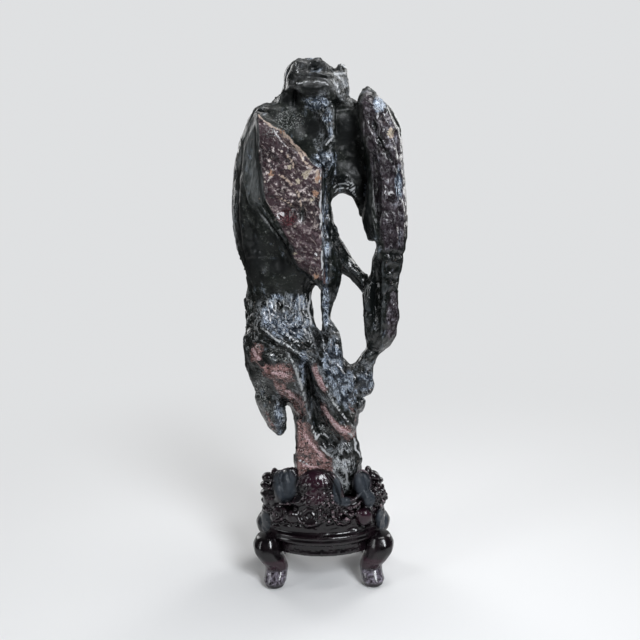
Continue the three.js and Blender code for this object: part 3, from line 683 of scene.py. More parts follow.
# %% Strokes of the flat facet and the left side
FACET = [
    (1.3, 2.2, [(-57, 482), (-50, 475.5), (-40, 470), (-33, 465), (-26, 459), (-20, 452), (-12, 443),
                (-5, 434.5), (3, 431)]),
    (-1.2, 2.0, [(-38, 466), (-30, 461), (-24, 455), (-17, 446), (-10, 438), (-3, 432.5)]),
    (0.9, 1.5, [(-33, 462), (-27, 458), (-20, 450), (-16.5, 443), (-14, 437), (-8, 432.5), (-2, 430)]),
    (-2.0, 2.2, [(-52, 404), (-45, 402.5), (-38, 399.5), (-30, 394.5), (-22, 389.5)]),
    (1.0, 2.0, [(-46, 405.5), (-38, 402.5), (-30, 397.5), (-21, 392)]),
    (1.0, 1.5, [(-26, 413), (-20, 406), (-18, 398), (-16.5, 391)]),
    (-1.8, 2.0, [(-18, 358.5), (-12, 358), (-4, 355.5)]),
    (1.0, 1.6, [(-19, 355.5), (-11, 355), (-3, 352)]),
    (-2.2, 2.4, [(-21, 352.5), (-10, 351), (1, 345.5)]),
    (-1.2, 1.8, [(-16, 341), (-6, 339), (2, 333)]),
    (1.1, 2.0, [(3, 430), (2.5, 400), (2.5, 370), (3, 340), (3.5, 320)]),
    (0.8, 1.6, [(-50, 399), (-46, 391), (-40, 381), (-33, 369), (-29, 358), (-28, 346)]),
]
BEVEL_LINES = fan(
    [(-60, 478), (-61, 450), (-60, 425), (-57, 404)],
    [(-69, 470), (-73, 440), (-75, 415), (-74, 398)],
    5,
)
LEFT_SIDE = [
    (1.3, 2.2, [(-58, 482), (-56.5, 468), (-58, 440), (-55, 425), (-53.5, 403)]),
    (1.8, 2.6, [(-62, 403), (-58, 395.5), (-50, 384), (-42, 373), (-34, 362), (-29, 350)]),
    (-1.6, 2.2, [(-62, 398), (-55, 388), (-46, 375), (-38, 363), (-32, 352)]),
    (1.4, 2.2, [(-66, 396), (-58, 384), (-49, 372), (-39, 359), (-33, 348)]),
    (1.2, 2.8, [(-70, 472), (-76, 450), (-81, 420), (-83.5, 400), (-84, 380), (-82, 355), (-77, 335)]),
    (-1.8, 3.0, [(-73, 455), (-77, 425), (-79.5, 400), (-79.5, 380), (-77, 352), (-72, 335)]),
    (1.3, 2.0, [(-68, 440), (-72, 420), (-70, 404), (-66, 394)]),
    (1.2, 1.8, [(-74, 395), (-70, 384), (-66, 377), (-58, 372)]),
    (1.2, 1.8, [(-76, 366), (-68, 361), (-60, 362), (-52, 356)]),
    (1.2, 1.8, [(-74, 343), (-66, 346), (-58, 341), (-50, 344)]),
    (-1.5, 2.2, [(-73, 349), (-65, 352), (-56, 349)]),
]
strokes(work, 0.6, [FACET, LEFT_SIDE, [(-0.4, 1.6, line) for line in BEVEL_LINES]])

# %% Strokes of the right arm and the bridge
ARM_WOBBLE = 2.4
ARM_WRINKLES = fan([(57, 429), (64, 425), (73, 417)], [(66, 373), (73, 364), (81, 356)], 9)
HOLE_ARCS = fan(
    [(15, 406), (20, 410.5), (27, 412), (34, 408), (38.5, 401)],
    [(16, 417), (20, 423), (27, 423.5), (33, 419), (38, 412)],
    4,
)
HOLE_EDGE = fan(
    [(40, 397), (42.5, 385), (45.5, 372), (46, 363)],
    [(45, 399), (48.5, 386), (51, 374), (52, 364)],
    4,
)
BRIDGE_STRIPES = fan(
    [(11.5, 400), (14, 380), (19, 363), (28, 347), (38, 333), (44, 323)],
    [(8.5, 392), (9.5, 374), (12.5, 358), (20, 342), (30, 327), (38, 315)],
    5,
)
ARM = [
    (-5.0, 4.2, [(52, 476), (57, 463), (61, 454), (67, 446), (73, 436), (77, 428)]),
    (-3.0, 3.6, [(60, 500), (64, 488), (68, 476)]), (2.4, 4.0, [(60, 474), (66, 464), (73, 452)]),
    (1.6, 3.6, [(48, 502), (46, 486), (45, 470), (48, 458), (53, 449), (56, 440)]),
    (1.5, 2.6, [(58, 478), (63, 463), (69, 453), (76, 444)]),
    (1.4, 2.2, [(43, 493), (42, 475), (45, 459), (51, 446), (53.5, 430), (54.5, 405), (58, 386), (63, 368),
                (66, 350)]),
    (1.4, 2.2, [(64, 346), (63.5, 300), (62.5, 262), (65, 245)]),
    (1.0, 1.8, [(50, 500), (58, 494), (66, 486)]), (-1.2, 1.8, [(52, 494), (60, 488), (68, 478)]),
    (1.1, 1.8, [(66, 484), (72, 474), (77, 464), (80, 452)]),
    (-1.2, 2.0, [(64, 480), (69, 471), (74, 460), (78, 450)]),
    (1.2, 2.0, [(76, 436), (79, 420), (80, 404)]),
    (-1.4, 2.2, [(79, 400), (81, 385), (81, 370), (80, 355)]),
    (1.2, 2.0, [(66, 340), (73, 336), (81, 334)]), (1.2, 2.0, [(66, 322), (72, 324), (79, 328)]),
    (1.2, 2.0, [(66, 311), (73, 312), (80, 306)]), (-1.6, 2.2, [(66, 298), (72, 294), (79, 296)]),
    (1.0, 1.8, [(70, 290), (69, 272), (70, 254)]), (-1.2, 2.0, [(74, 292), (74, 276), (73, 258)]),
    (1.4, 2.0, [(47, 359), (52, 362), (57, 359), (60, 350), (58, 340), (54, 330), (52, 318)]),
    (1.6, 2.4, [(50, 346), (48, 338), (47, 320), (46, 300), (47, 275), (49, 255)]),
    (-1.6, 2.6, [(21, 362), (17, 368), (15, 380)]),
]
strokes(work, 0.6, [
    ARM,
    [(1.6, 1.7, line) for line in HOLE_ARCS],
    [(1.0, 1.4, line) for line in HOLE_EDGE],
    [(1.0, 1.4, line) for line in BRIDGE_STRIPES],
])
strokes(work, ARM_WOBBLE, [[(0.9, 1.7, line) for line in ARM_WRINKLES]])

# %% Strokes of the lower body
WET_FLOW = fan(
    [(5, 256), (6, 245), (4, 232), (7, 215), (14, 199), (21, 185)],
    [(19, 252), (20, 240), (22, 226), (26, 211), (32, 196), (37, 180)],
    6,
)
WET_FLUTES = fan(
    [(-53, 302), (-52, 288), (-49, 275), (-42, 264)],
    [(-21, 305), (-20.5, 290), (-19, 277), (-13, 262)],
    5,
)
HOLE_WALL = fan(
    [(-14, 309), (-12.5, 295), (-13, 280), (-10.5, 268), (-7, 258), (-2, 249)],
    [(-21, 306), (-19, 292), (-18.5, 280), (-16.5, 268), (-12.5, 256), (-6, 245)],
    3,
)
BODY = [
    (2.6, 3.2, [(-61, 272), (-53, 264), (-44, 257), (-35, 252), (-26, 245), (-18, 241), (-8, 236.5),
                (-4, 231)]),
    (1.6, 2.2, [(-59, 277), (-51, 268), (-43, 261), (-34, 256), (-25, 250)]),
    (-2.0, 2.8, [(-60, 262), (-50, 256), (-40, 250), (-31, 243), (-22, 237)]),
    (1.4, 2.2, [(4, 303), (3.4, 290), (3, 278), (6, 266), (11, 256), (17, 246)]),
    (1.4, 2.2, [(20, 306), (12, 296), (7, 288), (6, 279)]),
    (1.8, 3.0, [(6, 282), (12, 274), (17, 266), (20, 256), (20.5, 244), (21, 232)]),
    (2.8, 4.2, [(-8, 230), (-5, 221), (-1, 211), (4, 203), (9, 196)]),
    (2.6, 4.6, [(-1, 191), (3, 182), (8, 173), (14, 164), (21, 156)]),
    (2.0, 2.4, [(6, 203), (13, 189), (20, 179), (27, 170), (34, 161)]),
    (-1.6, 2.4, [(9, 190), (15, 180), (20, 172), (25, 165)]),
    (2.8, 3.4, [(-38, 250), (-32, 240), (-27, 231), (-23, 222), (-19, 212), (-17.5, 202), (-15, 190),
                (-12.5, 178), (-11.5, 168), (-9, 158)]),
    (1.2, 1.8, [(-33, 246), (-27, 236), (-22, 226), (-18, 216)]),
    (-3.0, 5.0, [(-16, 237), (-13, 225), (-11, 210), (-9, 195), (-6, 180), (-3, 167)]),
    (-2.2, 3.6, [(2, 178), (6, 168), (13, 158), (20, 149)]),
    (1.2, 1.8, [(-10, 222), (-8, 212), (-9, 200), (-6, 190)]),
    (1.8, 2.4, [(-51, 194), (-48, 180), (-45.5, 168), (-43.5, 157)]),
    (1.1, 1.8, [(-46.5, 190), (-43.5, 176), (-41.5, 164)]),
    (-1.5, 2.0, [(-55, 192), (-52.5, 176), (-49.5, 161)]),
    (-2.6, 3.4, [(-52, 202), (-44, 194), (-37, 186), (-34, 180)]),
    (1.4, 2.0, [(-70, 256), (-62, 258), (-55, 254), (-48, 250)]),
    (1.2, 2.0, [(-66, 224), (-62, 214), (-62, 204), (-58, 194)]),
    (-1.3, 2.0, [(-68, 230), (-60, 224), (-56, 214)]),
    (1.2, 2.0, [(-30, 212), (-26, 204), (-25, 196)]),
    (1.0, 1.6, [(34, 226), (40, 222), (46, 222)]),
    (1.4, 2.2, [(31, 218), (37, 210), (42, 200), (46, 192)]),
    (1.3, 2.0, [(48, 222), (52, 212), (53, 203)]),
    (-1.6, 2.0, [(44, 224), (46, 214), (44, 204)]),
    (1.4, 2.0, [(30, 186), (36, 190), (43, 191)]),
    (1.4, 2.0, [(-77, 320), (-76, 300), (-77, 275), (-78, 250)]),
    (-1.4, 2.6, [(-70, 312), (-69, 296), (-70, 275), (-70, 258)]),
]
strokes(work, 0.7, [
    BODY,
    [(1.1, 1.7, line) for line in WET_FLOW],
    [(1.5, 2.0, line) for line in WET_FLUTES],
    [(1.2, 1.8, line) for line in HOLE_WALL],
])

# %% Strokes of the foot
FOOT_LINES = fan(
    [(11, 139), (16, 131), (21, 121), (24, 108), (26, 92)],
    [(17, 144), (24, 134), (31, 122), (34, 108), (35, 94)],
    5,
)
FOOT = [
    (2.2, 3.0, [(-12, 171), (-10, 161), (-8, 152), (-3, 143), (3, 136), (8, 131), (13, 126), (17, 118),
                (21, 106)]),
    (1.9, 2.2, [(-6, 149), (-3, 154.5), (3, 155.5), (8, 150), (13, 143), (16, 136)]),
    (1.2, 1.5, [(-26, 126), (-20, 123.5), (-15, 121.5), (-13, 117)]),
    (-1.4, 1.8, [(-26, 123.5), (-20, 121.5), (-16, 119)]),
    (-1.4, 2.4, [(-27.5, 166), (-26.5, 150), (-27, 135), (-28, 120)]),
    (1.2, 2.0, [(37, 148), (39, 138), (42, 130), (40, 120)]),
    (-1.4, 2.2, [(34, 146), (35, 134), (36, 122)]),
]
strokes(work, 0.5, [FOOT, [(1.2, 1.6, line) for line in FOOT_LINES]])
print("strokes laid")

# %% [markdown]
# The back is seen only from behind, so its marks are invented in the manner of the front: ridges that run
# down and part round the holes, with dents between them. They use the same front view, and go only where
# the surface faces away from the eye.

# %% The back
BACK = [
    (2.6, 4.0, [(-8, 528), (-14, 505), (-26, 480), (-38, 450), (-46, 410), (-50, 370)]),
    (-2.6, 5.0, [(0, 520), (-4, 495), (-14, 470), (-24, 440), (-30, 405), (-34, 370)]),
    (2.4, 3.6, [(10, 515), (8, 490), (0, 460), (-8, 430), (-14, 395), (-16, 360), (-12, 330)]),
    (-2.2, 4.0, [(-58, 455), (-64, 420), (-66, 385), (-62, 350)]),
    (2.2, 3.6, [(-70, 440), (-74, 405), (-74, 370), (-70, 335)]),
    (2.4, 3.6, [(52, 495), (62, 465), (70, 430), (74, 395), (73, 355), (70, 315), (66, 275)]),
    (-2.2, 4.0, [(60, 490), (56, 460), (60, 425), (62, 390), (60, 350)]),
    (2.4, 3.6, [(-66, 318), (-50, 296), (-32, 276), (-14, 254), (0, 232), (14, 206), (26, 180), (32, 158)]),
    (-2.6, 4.4, [(-60, 296), (-46, 274), (-30, 254), (-14, 232), (0, 208), (10, 186)]),
    (2.4, 3.6, [(-62, 262), (-50, 244), (-36, 226), (-24, 204), (-14, 180), (-8, 155), (-10, 128)]),
    (-2.2, 4.0, [(-60, 230), (-50, 208), (-44, 188)]),
    (2.0, 3.2, [(34, 226), (40, 208), (36, 190), (30, 168), (28, 145), (30, 120)]),
    (-2.2, 3.6, [(6, 170), (10, 150), (8, 130), (12, 110)]),
    (1.8, 3.0, [(20, 160), (18, 140), (22, 120), (20, 100)]),
    (1.8, 2.8, [(-46, 330), (-40, 345), (-30, 352), (-18, 350)]),
    (-2.6, 6.0, [(-40, 330), (-30, 336), (-20, 332)]),
    (1.6, 2.6, [(-36, 500), (-50, 478), (-60, 450)]),
]
BACK_SPOTS = [
    (-4.0, (-40, 300), (12, 9), -40), (-4.5, (-22, 390), (9, 18), 12), (-3.5, (-52, 396), (8, 16), 8),
    (-3.5, (-30, 450), (9, 14), -25), (3.0, (0, 500), (12, 10), 0), (-3.5, (-20, 512), (7, 6), 20),
    (-4.0, (-48, 222), (9, 7), -30), (-3.5, (12, 232), (8, 9), -30), (-3.5, (68, 445), (6, 12), -15),
    (-3.0, (70, 376), (5, 12), 0), (3.0, (-62, 350), (9, 12), 0), (-3.0, (-4, 425), (7, 14), 10),
    (-3.0, (-14, 140), (8, 10), 0), (3.0, (22, 190), (9, 9), 0), (-2.6, (70, 300), (5, 9), 0),
    (-3.0, (-64, 285), (6, 9), 0), (2.6, (-20, 215), (9, 8), 0), (-2.8, (26, 470), (8, 12), 0),
]
BACK_DEEPER = 1.5
BACK_WIDER = 1.9
behind = np.clip(work.normals[:, 1] * 3, 0, 1)
place = shaken_view(work.view, 2.0, 9.0, (12.0, 21.0))
ridges = sum(stroke(place, BACK_DEEPER * height, BACK_WIDER * width, line) for height, width, line in BACK)
dents = sum(spot(place, BACK_DEEPER * height, *where) for height, *where in BACK_SPOTS)
work.push((ridges + dents) * behind)
print("ridges and dents of the back:", len(BACK), len(BACK_SPOTS))

# %% [markdown]
# A stone that is rough all round would look made. So the places that were chosen as quiet on the sides and
# the back are now worn smooth, and the ridges show the better for it.

# %% Worn places of the sides and the back
WORN_SHARE = 0.85
WORN_ROUNDS = 6
share = (WORN_SHARE * quiet_behind(work))[:, None]
smooth = work.spread(work.points, WORN_ROUNDS)
set_points(stone, work.points * (1 - share) + smooth * share)
work.refresh()
print("points worn by more than half:", int((share > 0.5).sum()))

# %% [markdown]
# The relief pushes some points outwards. Nothing may reach past the box of the solid that the stone stands
# for, so the points are held a little inside it, the flat under the foot too.

# %% Back inside the solid's box
INSIDE = 0.15
solid_low, solid_high = (np.array(corner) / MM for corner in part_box("rock"))
set_points(stone, np.clip(work.points, solid_low + INSIDE, solid_high - INSIDE))
work.refresh()
reach = work.points.min(axis=0) - solid_low, solid_high - work.points.max(axis=0)
print("room left to the solid's box:", [round(float(v), 2) for side in reach for v in side])

# %% [markdown]
# The finish follows the shape. Where the stone stands out it is painted paler, partly as wear and partly as a
# painted highlight, and its hollows are painted dark as painted shade. The regions of other colours are
# outlines, spots and lines of the front view. They could be painted on an image, but an image blurs from
# near. So each is saved on the points as an attribute, a named number from 0 to 1 that the material reads,
# and the material's own patterns break its edge.

# %% Helpers for attributes


def save_attribute(piece, name, values):
    """Keeps one number for each point under a name."""
    attribute = piece.data.attributes.new(name, "FLOAT", "POINT")
    attribute.data.foreach_set("value", np.clip(np.asarray(values, float), 0, 1).ravel())
    print(f"{name}: mean {float(np.mean(values)):.2f}")


def spots_of(view, height, places):
    """Spots of one height added up; above 1 they are full over most of their width."""
    return sum(spot(view, height, *values) for values in places)


def lines_of(view, height, lines):
    """Lines of one height, each with its own half width, added up."""
    return sum(stroke(view, height, width, line) for width, line in lines)

# %% Places of the blue, the wet and the painted shade
BLUE_PLACES = [
    ((-52, 284), (10, 17)), ((-32, 272), (28, 18)), ((12, 232), (14, 34)), ((26, 205), (15, 28)),
    ((5, 438), (14, 13)), ((1, 492), (15, 9)), ((10, 479), (6, 8)), ((13, 463), (3, 10)),
    ((60, 490), (9, 12)), ((4, 494), (8, 7)), ((79, 415), (5, 20)), ((-18, 230), (6, 24)),
    ((-13, 188), (4, 26)), ((-45, 172), (6, 24)), ((46, 212), (10, 16)), ((0, 523), (7, 3)),
    ((-22, 296), (12, 12)), ((-44, 301), (9, 7)), ((6, 300), (5, 40)), ((7, 370), (4, 60)),
]
WET_PLACES = [
    ((26, 506), (11, 20)), ((6, 470), (14, 50)), ((0, 225), (48, 60)), ((-40, 285), (34, 30)),
    ((18, 120), (22, 44)), ((-84, 400), (8, 80)), ((-45, 180), (12, 30)), ((46, 212), (14, 30)),
]
# Painted shade: spots of the front painted darker, where hollows, undercuts and the groove over the muzzle
# lie in shade.
PAINTED_SHADE_PLACES = [
    ((-21, 495), (8, 12)), ((-1, 525), (9, 5)), ((-3, 470), (12, 14)), ((30, 465), (14, 26)),
    ((36, 430), (10, 18)), ((48, 380), (8, 34)), ((54, 300), (7, 46)), ((75, 345), (11, 7)),
    ((-66, 345), (16, 36)), ((-40, 335), (16, 14)), ((-13, 200), (5, 36)), ((3, 144), (8, 6)),
    ((-16, 385), (4, 11)), ((17, 355), (5, 10)), ((-38, 190), (5, 12)), ((-78, 385), (4, 44)),
    ((60, 456), (4, 9)), ((68, 444), (5, 6)), ((16, 523), (4, 3)), ((-2, 508), (16, 2.5)),
    ((20, 494), (5, 3)), ((56, 470), (4, 8)), ((-30, 497), (5, 8)), ((44, 410), (8, 16)),
    ((-28, 350), (5, 10)), ((-2, 258), (7, 12)), ((26, 228), (6, 9)), ((14, 372), (7, 26)),
    ((20, 420), (16, 8)), ((-24, 518), (5, 8)), ((8, 517), (9, 3)), ((-3, 506), (17, 4)),
]

# %% Lines of the front
PALE_LINES = [
    (1.8, [(-46, 472), (-40, 470), (-33, 465.5), (-26, 459)]),
    (1.8, [(-33, 463), (-27, 459), (-20, 451), (-16, 444), (-14, 438), (-9, 433), (-2, 430)]),
    (1.6, [(-57, 483), (-50, 476), (-44, 472)]), (1.6, [(-20, 453), (-14, 447), (-8, 439)]),
    (3.0, [(0, 428), (0, 414)]), (1.4, [(-24, 413), (-19, 405), (-17.5, 397), (-16.5, 391)]),
    (1.2, [(-42, 404), (-32, 399), (-22, 392.5)]), (2.4, [(70, 468), (72, 458)]),
    (1.6, [(-38, 425), (-30, 420), (-24, 414)]), (1.4, [(-30, 445), (-24, 436), (-22, 428)]),
]
# Painted highlights: pale lines along crests and ledges, and a painted reflection along the left rim.
CREST_HIGHLIGHT_LINES = [
    [(16, 464), (15, 459), (11, 455), (7, 452)], [(-10, 167), (-8, 157), (-5, 148)],
    [(-3, 143), (3, 136), (8, 131), (13, 126)], [(6, 203), (13, 189), (20, 179), (27, 170), (34, 161)],
    [(-60, 271), (-52, 264), (-44, 258), (-35, 252.5), (-26, 246), (-16, 241)],
    [(-6, 150), (-2, 155), (4, 155), (8, 150)], [(24, 118), (26, 108), (25, 96)],
    [(-25, 126), (-20, 123.5), (-15, 121.5)], [(-9, 308), (-11, 290), (-9, 272)], [(27, 155), (32, 152)],
    [(20, 518), (25, 514), (27, 506), (26, 498)], [(16, 514), (20, 508), (21, 500)],
    [(-36, 248), (-29, 234), (-23, 216), (-18, 200), (-14, 185), (-12, 170)],
    [(2.5, 429), (2.6, 400), (2.6, 370), (3, 340), (3.5, 320)], [(34, 150), (36, 138), (40, 128)],
    [(14, 524), (18, 519.5), (24, 519), (29, 521)], [(21, 527), (24, 529), (28, 526)],
    [(-84, 395), (-83, 360), (-80, 335)],
]
ROSY_LINES = [
    (4.6, [(-9, 229), (-5, 221), (-1, 211), (4, 203)]),
    (4.6, [(0, 188), (6, 178), (13, 167), (20, 158), (28, 156)]),
    (3.6, [(-70, 250), (-66, 242), (-62, 236)]), (3.4, [(-50, 222), (-42, 222), (-34, 218)]),
    (3.4, [(-36, 204), (-28, 196), (-20, 188)]), (3.6, [(-20, 158), (-14, 148), (-6, 138), (2, 128)]),
    (3.0, [(-22, 122), (-12, 118), (-4, 118)]),
]
LEDGE_HIGHLIGHT_LINES = [
    [(-18.4, 531), (-18.6, 525), (-18, 519)],
    [(-24, 515), (-21, 512), (-17, 511), (-10, 513), (0, 513), (8, 511.5), (13, 507)],
]
FINE_HIGHLIGHT_LINES = [*LEDGE_HIGHLIGHT_LINES, *HOLE_ARCS, *WET_FLUTES, *HOLE_WALL]

# %% Places of the specks and the stripes
# Where the arm gets painted glints.
PAINTED_GLINT_PLACES = [((74, 462), (13, 28)), ((72, 272), (11, 34)), ((62, 494), (11, 12)), ((80, 395), (5, 50))]
GRANULAR_PLACES = [
    ((-46, 243), (14, 9)), ((-62, 205), (10, 24)), ((-12, 200), (6, 34)), ((-56, 174), (8, 16)),
    ((-34, 236), (6, 8)), ((8, 160), (12, 12)), ((-40, 466), (14, 8)), ((-28, 476), (16, 12)),
]
# Where the painted highlight lines are almost white, on the foot.
HIGHLIGHT_STREAK_PLACE = ((21, 116), (15, 34), -8)
RED_PLACE = ((-31, 383), (12, 11), -40)
ARM_LOWER_PLACE = ((75, 275), (9, 40))
CHEEK_PATCH = [
    (10, 520), (20, 520), (29, 516), (30, 500), (33, 494), (39, 490), (34, 486), (26, 492), (20, 500),
    (14, 508),
]
# The arm's shoulder ridge, where it catches the light, gets the cheek's grey and its painted highlight lines
# too.
SHOULDER_PATCH = [
    (48, 504), (52, 492), (51, 474), (53, 458), (57, 448), (51, 444), (45, 456), (42, 474), (43, 494),
]

# %% Attributes from the shape
WORN_ROUNDS_NEAR = 4
WORN_SPAN = 0.9
DEEP_ROUNDS = 40
DEEP_SPAN = 5.0
view = work.view
front_share = work.front
elsewhere = 1 - front_share
# worn: how far a point stands out; the stone is painted paler there, partly as wear and partly as a painted
# highlight.
save_attribute(stone, "worn", 0.5 + work.height_above(WORN_ROUNDS_NEAR) / WORN_SPAN)
# deep: how far a point lies sunk in a hollow; the material paints shade there.
save_attribute(stone, "deep", 0.5 - work.height_above(DEEP_ROUNDS) / DEEP_SPAN)

# %% Attributes of the front alone
save_attribute(stone, "slab", inside(view, SLAB, 2.4) * front_share)
save_attribute(stone, "bevel", inside(view, BEVEL, 5.0) * front_share)
save_attribute(stone, "crown", inside(view, CROWN, 5.0) * front_share)
hollows = inside(view, UPPER_HOLLOW, 6.0) + inside(view, LEFT_HOLLOW, 12.0) + inside(view, RIGHT_HOLLOW, 6.0)
head = 0.5 * inside(view, CROWN, 4.0) + 0.5 * inside(view, MUZZLE, 4.0)
save_attribute(stone, "calm", quiet_behind(work) + front_share * (hollows + head))
save_attribute(stone, "granular", spots_of(view, 1.5, GRANULAR_PLACES) * front_share)
save_attribute(stone, "highlight_streaks", spot(view, 1.8, *HIGHLIGHT_STREAK_PLACE) * front_share)
# The listed spots of painted shade.
save_attribute(stone, "painted_shade", spots_of(view, 1.3, PAINTED_SHADE_PLACES) * front_share)
cheek = inside(view, CHEEK_PATCH, 3.0) + 0.8 * inside(view, SHOULDER_PATCH, 3.0)
save_attribute(stone, "cheek", cheek * front_share)
save_attribute(stone, "red", spot(view, 1.8, *RED_PLACE) * front_share)
save_attribute(stone, "painted_glints", 0.2 + spots_of(view, 1.4, PAINTED_GLINT_PLACES))

# %% Attributes of the front's lines
shaken = shaken_view(view, 1.2, 6.0, (2.1, 9.4))
save_attribute(stone, "pale", lines_of(shaken, 1.6, PALE_LINES) * front_share)
save_attribute(stone, "rosy", lines_of(shaken, 1.6, ROSY_LINES) * front_share)
# The crest attribute holds painted highlight lines.
crest_highlights = sum(stroke(shaken, 1.5, 1.7, line) for line in CREST_HIGHLIGHT_LINES)
crest_highlights += sum(stroke(shaken, 1.0, 1.3, line) for line in FINE_HIGHLIGHT_LINES)
save_attribute(stone, "crest", crest_highlights * front_share)

# %% [markdown]
# Four of the colours are found on the sides and the back as well. No outline says where, so noise scatters
# them there in patches, each colour with its own size and share.

# %% Attributes of the whole stone
ARM_DARK_BELOW = 335.0
ARM_FADE = 25.0


def scattered(size, shift, steepness, amount, most, upright=1.0):
    """Patches by chance on the sides and the back; upright under 1 draws them out upwards."""
    pattern = noise(work.points * (1, 1, upright), size, shift)
    return elsewhere * np.clip(steepness * pattern + amount, 0, most)


upper_arm = np.clip((view[:, 1] - ARM_DARK_BELOW) / ARM_FADE, 0, 1)
arm_share = 0.3 + 0.7 * upper_arm + spot(view, 1.0, *ARM_LOWER_PLACE)
arm = inside(view, ARM_FACE, 4.0) * arm_share * front_share
save_attribute(stone, "arm", arm + scattered(34.0, 3.3, 2.5, -0.3, 0.8))
salmon = sum(inside(view, outline, 4.0) for outline in SALMON_PATCHES) * front_share
save_attribute(stone, "salmon", salmon + scattered(26.0, 8.8, 3.0, -1.2, 0.85, upright=0.5))
blue = spots_of(view, 1.4, BLUE_PLACES) * front_share
save_attribute(stone, "blue", blue + scattered(30.0, 19.1, 2.5, -0.6, 0.8))
wet = spots_of(view, 1.6, WET_PLACES) * front_share
save_attribute(stone, "wet", wet + scattered(30.0, 41.0, 1.4, 0.1, 1, upright=0.6))

# %% [markdown]
# Two things more ride on the points. One is their place on the front view, for spots that must be sharp.
# The other is the way the grain runs there, as four numbers: each says how nearly the grain follows one of
# four directions.

# %% The place and the grain of each point
FAR_AWAY = 100
GRAIN_TURNS = (0, 45, 90, 135)
place = stone.data.attributes.new("front", "FLOAT_VECTOR", "POINT")
place.data.foreach_set("vector", np.stack([view[:, 0], view[:, 1], FAR_AWAY * elsewhere], axis=1).ravel())
heading = flow_direction(view)
heading = np.degrees(np.arctan2(heading[:, 1], heading[:, 0]))
for turn in GRAIN_TURNS:
    save_attribute(stone, f"run_{turn}", np.cos(np.radians(2 * (heading - turn))))

# %% [markdown]
# A material is a tree of nodes. These helpers keep it short: each adds one node or a few, links or sets the
# inputs, and hands the output on. Patterns read Object coordinates, in metres, while their sizes are given
# in millimetres.

# %% Helpers for materials


def new_material(name):
    """A material with only its shader and output; returns it with its node tree and shader."""
    material = bpy.data.materials.new(name)
    material.use_nodes = True
    return material, material.node_tree, material.node_tree.nodes["Principled BSDF"]


def add_node(tree, kind, inputs=None, **settings):
    """Adds a node; an input's value is a socket to link or a plain value."""
    node = tree.nodes.new("ShaderNode" + kind)
    for name, value in settings.items():
        setattr(node, name, value)
    for name, value in (inputs or {}).items():
        if isinstance(value, bpy.types.NodeSocket):
            tree.links.new(value, node.inputs[name])
        else:
            node.inputs[name].default_value = value
    return node


def attribute_value(tree, name):
    """The number that the points keep under this name."""
    return add_node(tree, "Attribute", attribute_name=name).outputs["Fac"]


def grain(tree, place, size, detail=3.0, rough=0.55, distortion=0.0):
    """Noise with lumps of about this size in mm."""
    inputs = {"Vector": place, "Scale": 1 / (size * MM), "Detail": detail, "Roughness": rough,
              "Distortion": distortion}
    return add_node(tree, "TexNoise", inputs).outputs["Fac"]


def drawn_out(tree, place, turn, times):
    """Object coordinates in which a pattern is this many times longer along a line turned from level."""
    turned = add_node(tree, "Mapping", {"Vector": place, "Rotation": (0, math.radians(turn), 0)}).outputs[0]
    return add_node(tree, "Mapping", {"Vector": turned, "Scale": (1 / times, 1, 1)}).outputs[0]

# %% Helpers for masks


def step(tree, value, start, stop, low=0.0, high=1.0):
    """Goes smoothly from low to high while the value goes from start to stop."""
    inputs = {"Value": value, "From Min": start, "From Max": stop, "To Min": low, "To Max": high}
    return add_node(tree, "MapRange", inputs, interpolation_type="SMOOTHSTEP").outputs["Result"]


def calculate(tree, operation, first, second=0.0, clamp=False):
    """One sum, product or the like of two values."""
    return add_node(tree, "Math", {0: first, 1: second}, operation=operation, use_clamp=clamp).outputs[0]


def both(tree, first, second):
    """Where the first mask and the second one hold together."""
    return calculate(tree, "MULTIPLY", first, second, clamp=True)


def either(tree, first, second):
    """Where the first mask or the second one holds."""
    return calculate(tree, "MAXIMUM", first, second)


def crease(tree, pattern, width):
    """1 on the lines where a noise pattern crosses its middle, 0 from the width on."""
    away = calculate(tree, "ABSOLUTE", calculate(tree, "SUBTRACT", pattern, 0.5))
    return step(tree, away, 0.0, width, 1.0, 0.0)


def ragged(tree, mask, pattern, width=0.25, amount=0.9):
    """Breaks the edge of a mask with a pattern."""
    change = calculate(tree, "MULTIPLY", calculate(tree, "SUBTRACT", pattern, 0.5), amount)
    return step(tree, calculate(tree, "ADD", mask, change), 0.5 - width, 0.5 + width)

# %% Helpers for colour and relief


def blend(tree, share, first, second):
    """Goes from the first colour to the second as share goes from 0 to 1."""
    node = add_node(tree, "Mix", data_type="RGBA")
    for index, value in ((0, share), (6, first), (7, second)):
        if isinstance(value, bpy.types.NodeSocket):
            tree.links.new(value, node.inputs[index])
        elif index:
            node.inputs[index].default_value = (*value, 1)
        else:
            node.inputs[index].default_value = value
    return node.outputs[2]


def bumped(tree, height, strength, distance, below=None):
    """A relief of this height in mm, laid over the one below it."""
    inputs = {"Height": height, "Strength": strength, "Distance": distance * MM}
    if below is not None:
        inputs["Normal"] = below
    return add_node(tree, "Bump", inputs).outputs["Normal"]

# %% [markdown]
# The stone is almost black with a green cast, polished until it looks wet. Over that lie mauve and
# salmon-pink patches, slate-blue streaks and cream specks and veins. All of them are mixed from a few noise
# patterns, from broad clouds of 24 mm down to grains of about 1 mm, so that neighbouring colours share
# their edges as in a real stone.

# %% Finish of the stone: patterns
stone_finish, tree, shader = new_material("polished stone")
place = add_node(tree, "TexCoord").outputs["Object"]
coarse = grain(tree, place, size=24, detail=4)
medium = grain(tree, place, size=8, detail=4)
small = grain(tree, place, size=3.4, detail=4, rough=0.6)
tiny = grain(tree, place, size=1.3, detail=3, rough=0.6)
mottle = grain(tree, drawn_out(tree, place, -38, 2.2), size=7.0, detail=6, rough=0.68, distortion=0.6)
banded = grain(tree, drawn_out(tree, place, -40, 2.5), size=15, detail=6, rough=0.66, distortion=0.7)
vein = crease(tree, banded, width=0.010)
striae = grain(tree, drawn_out(tree, place, 82, 7.0), size=2.2, detail=3, rough=0.6)

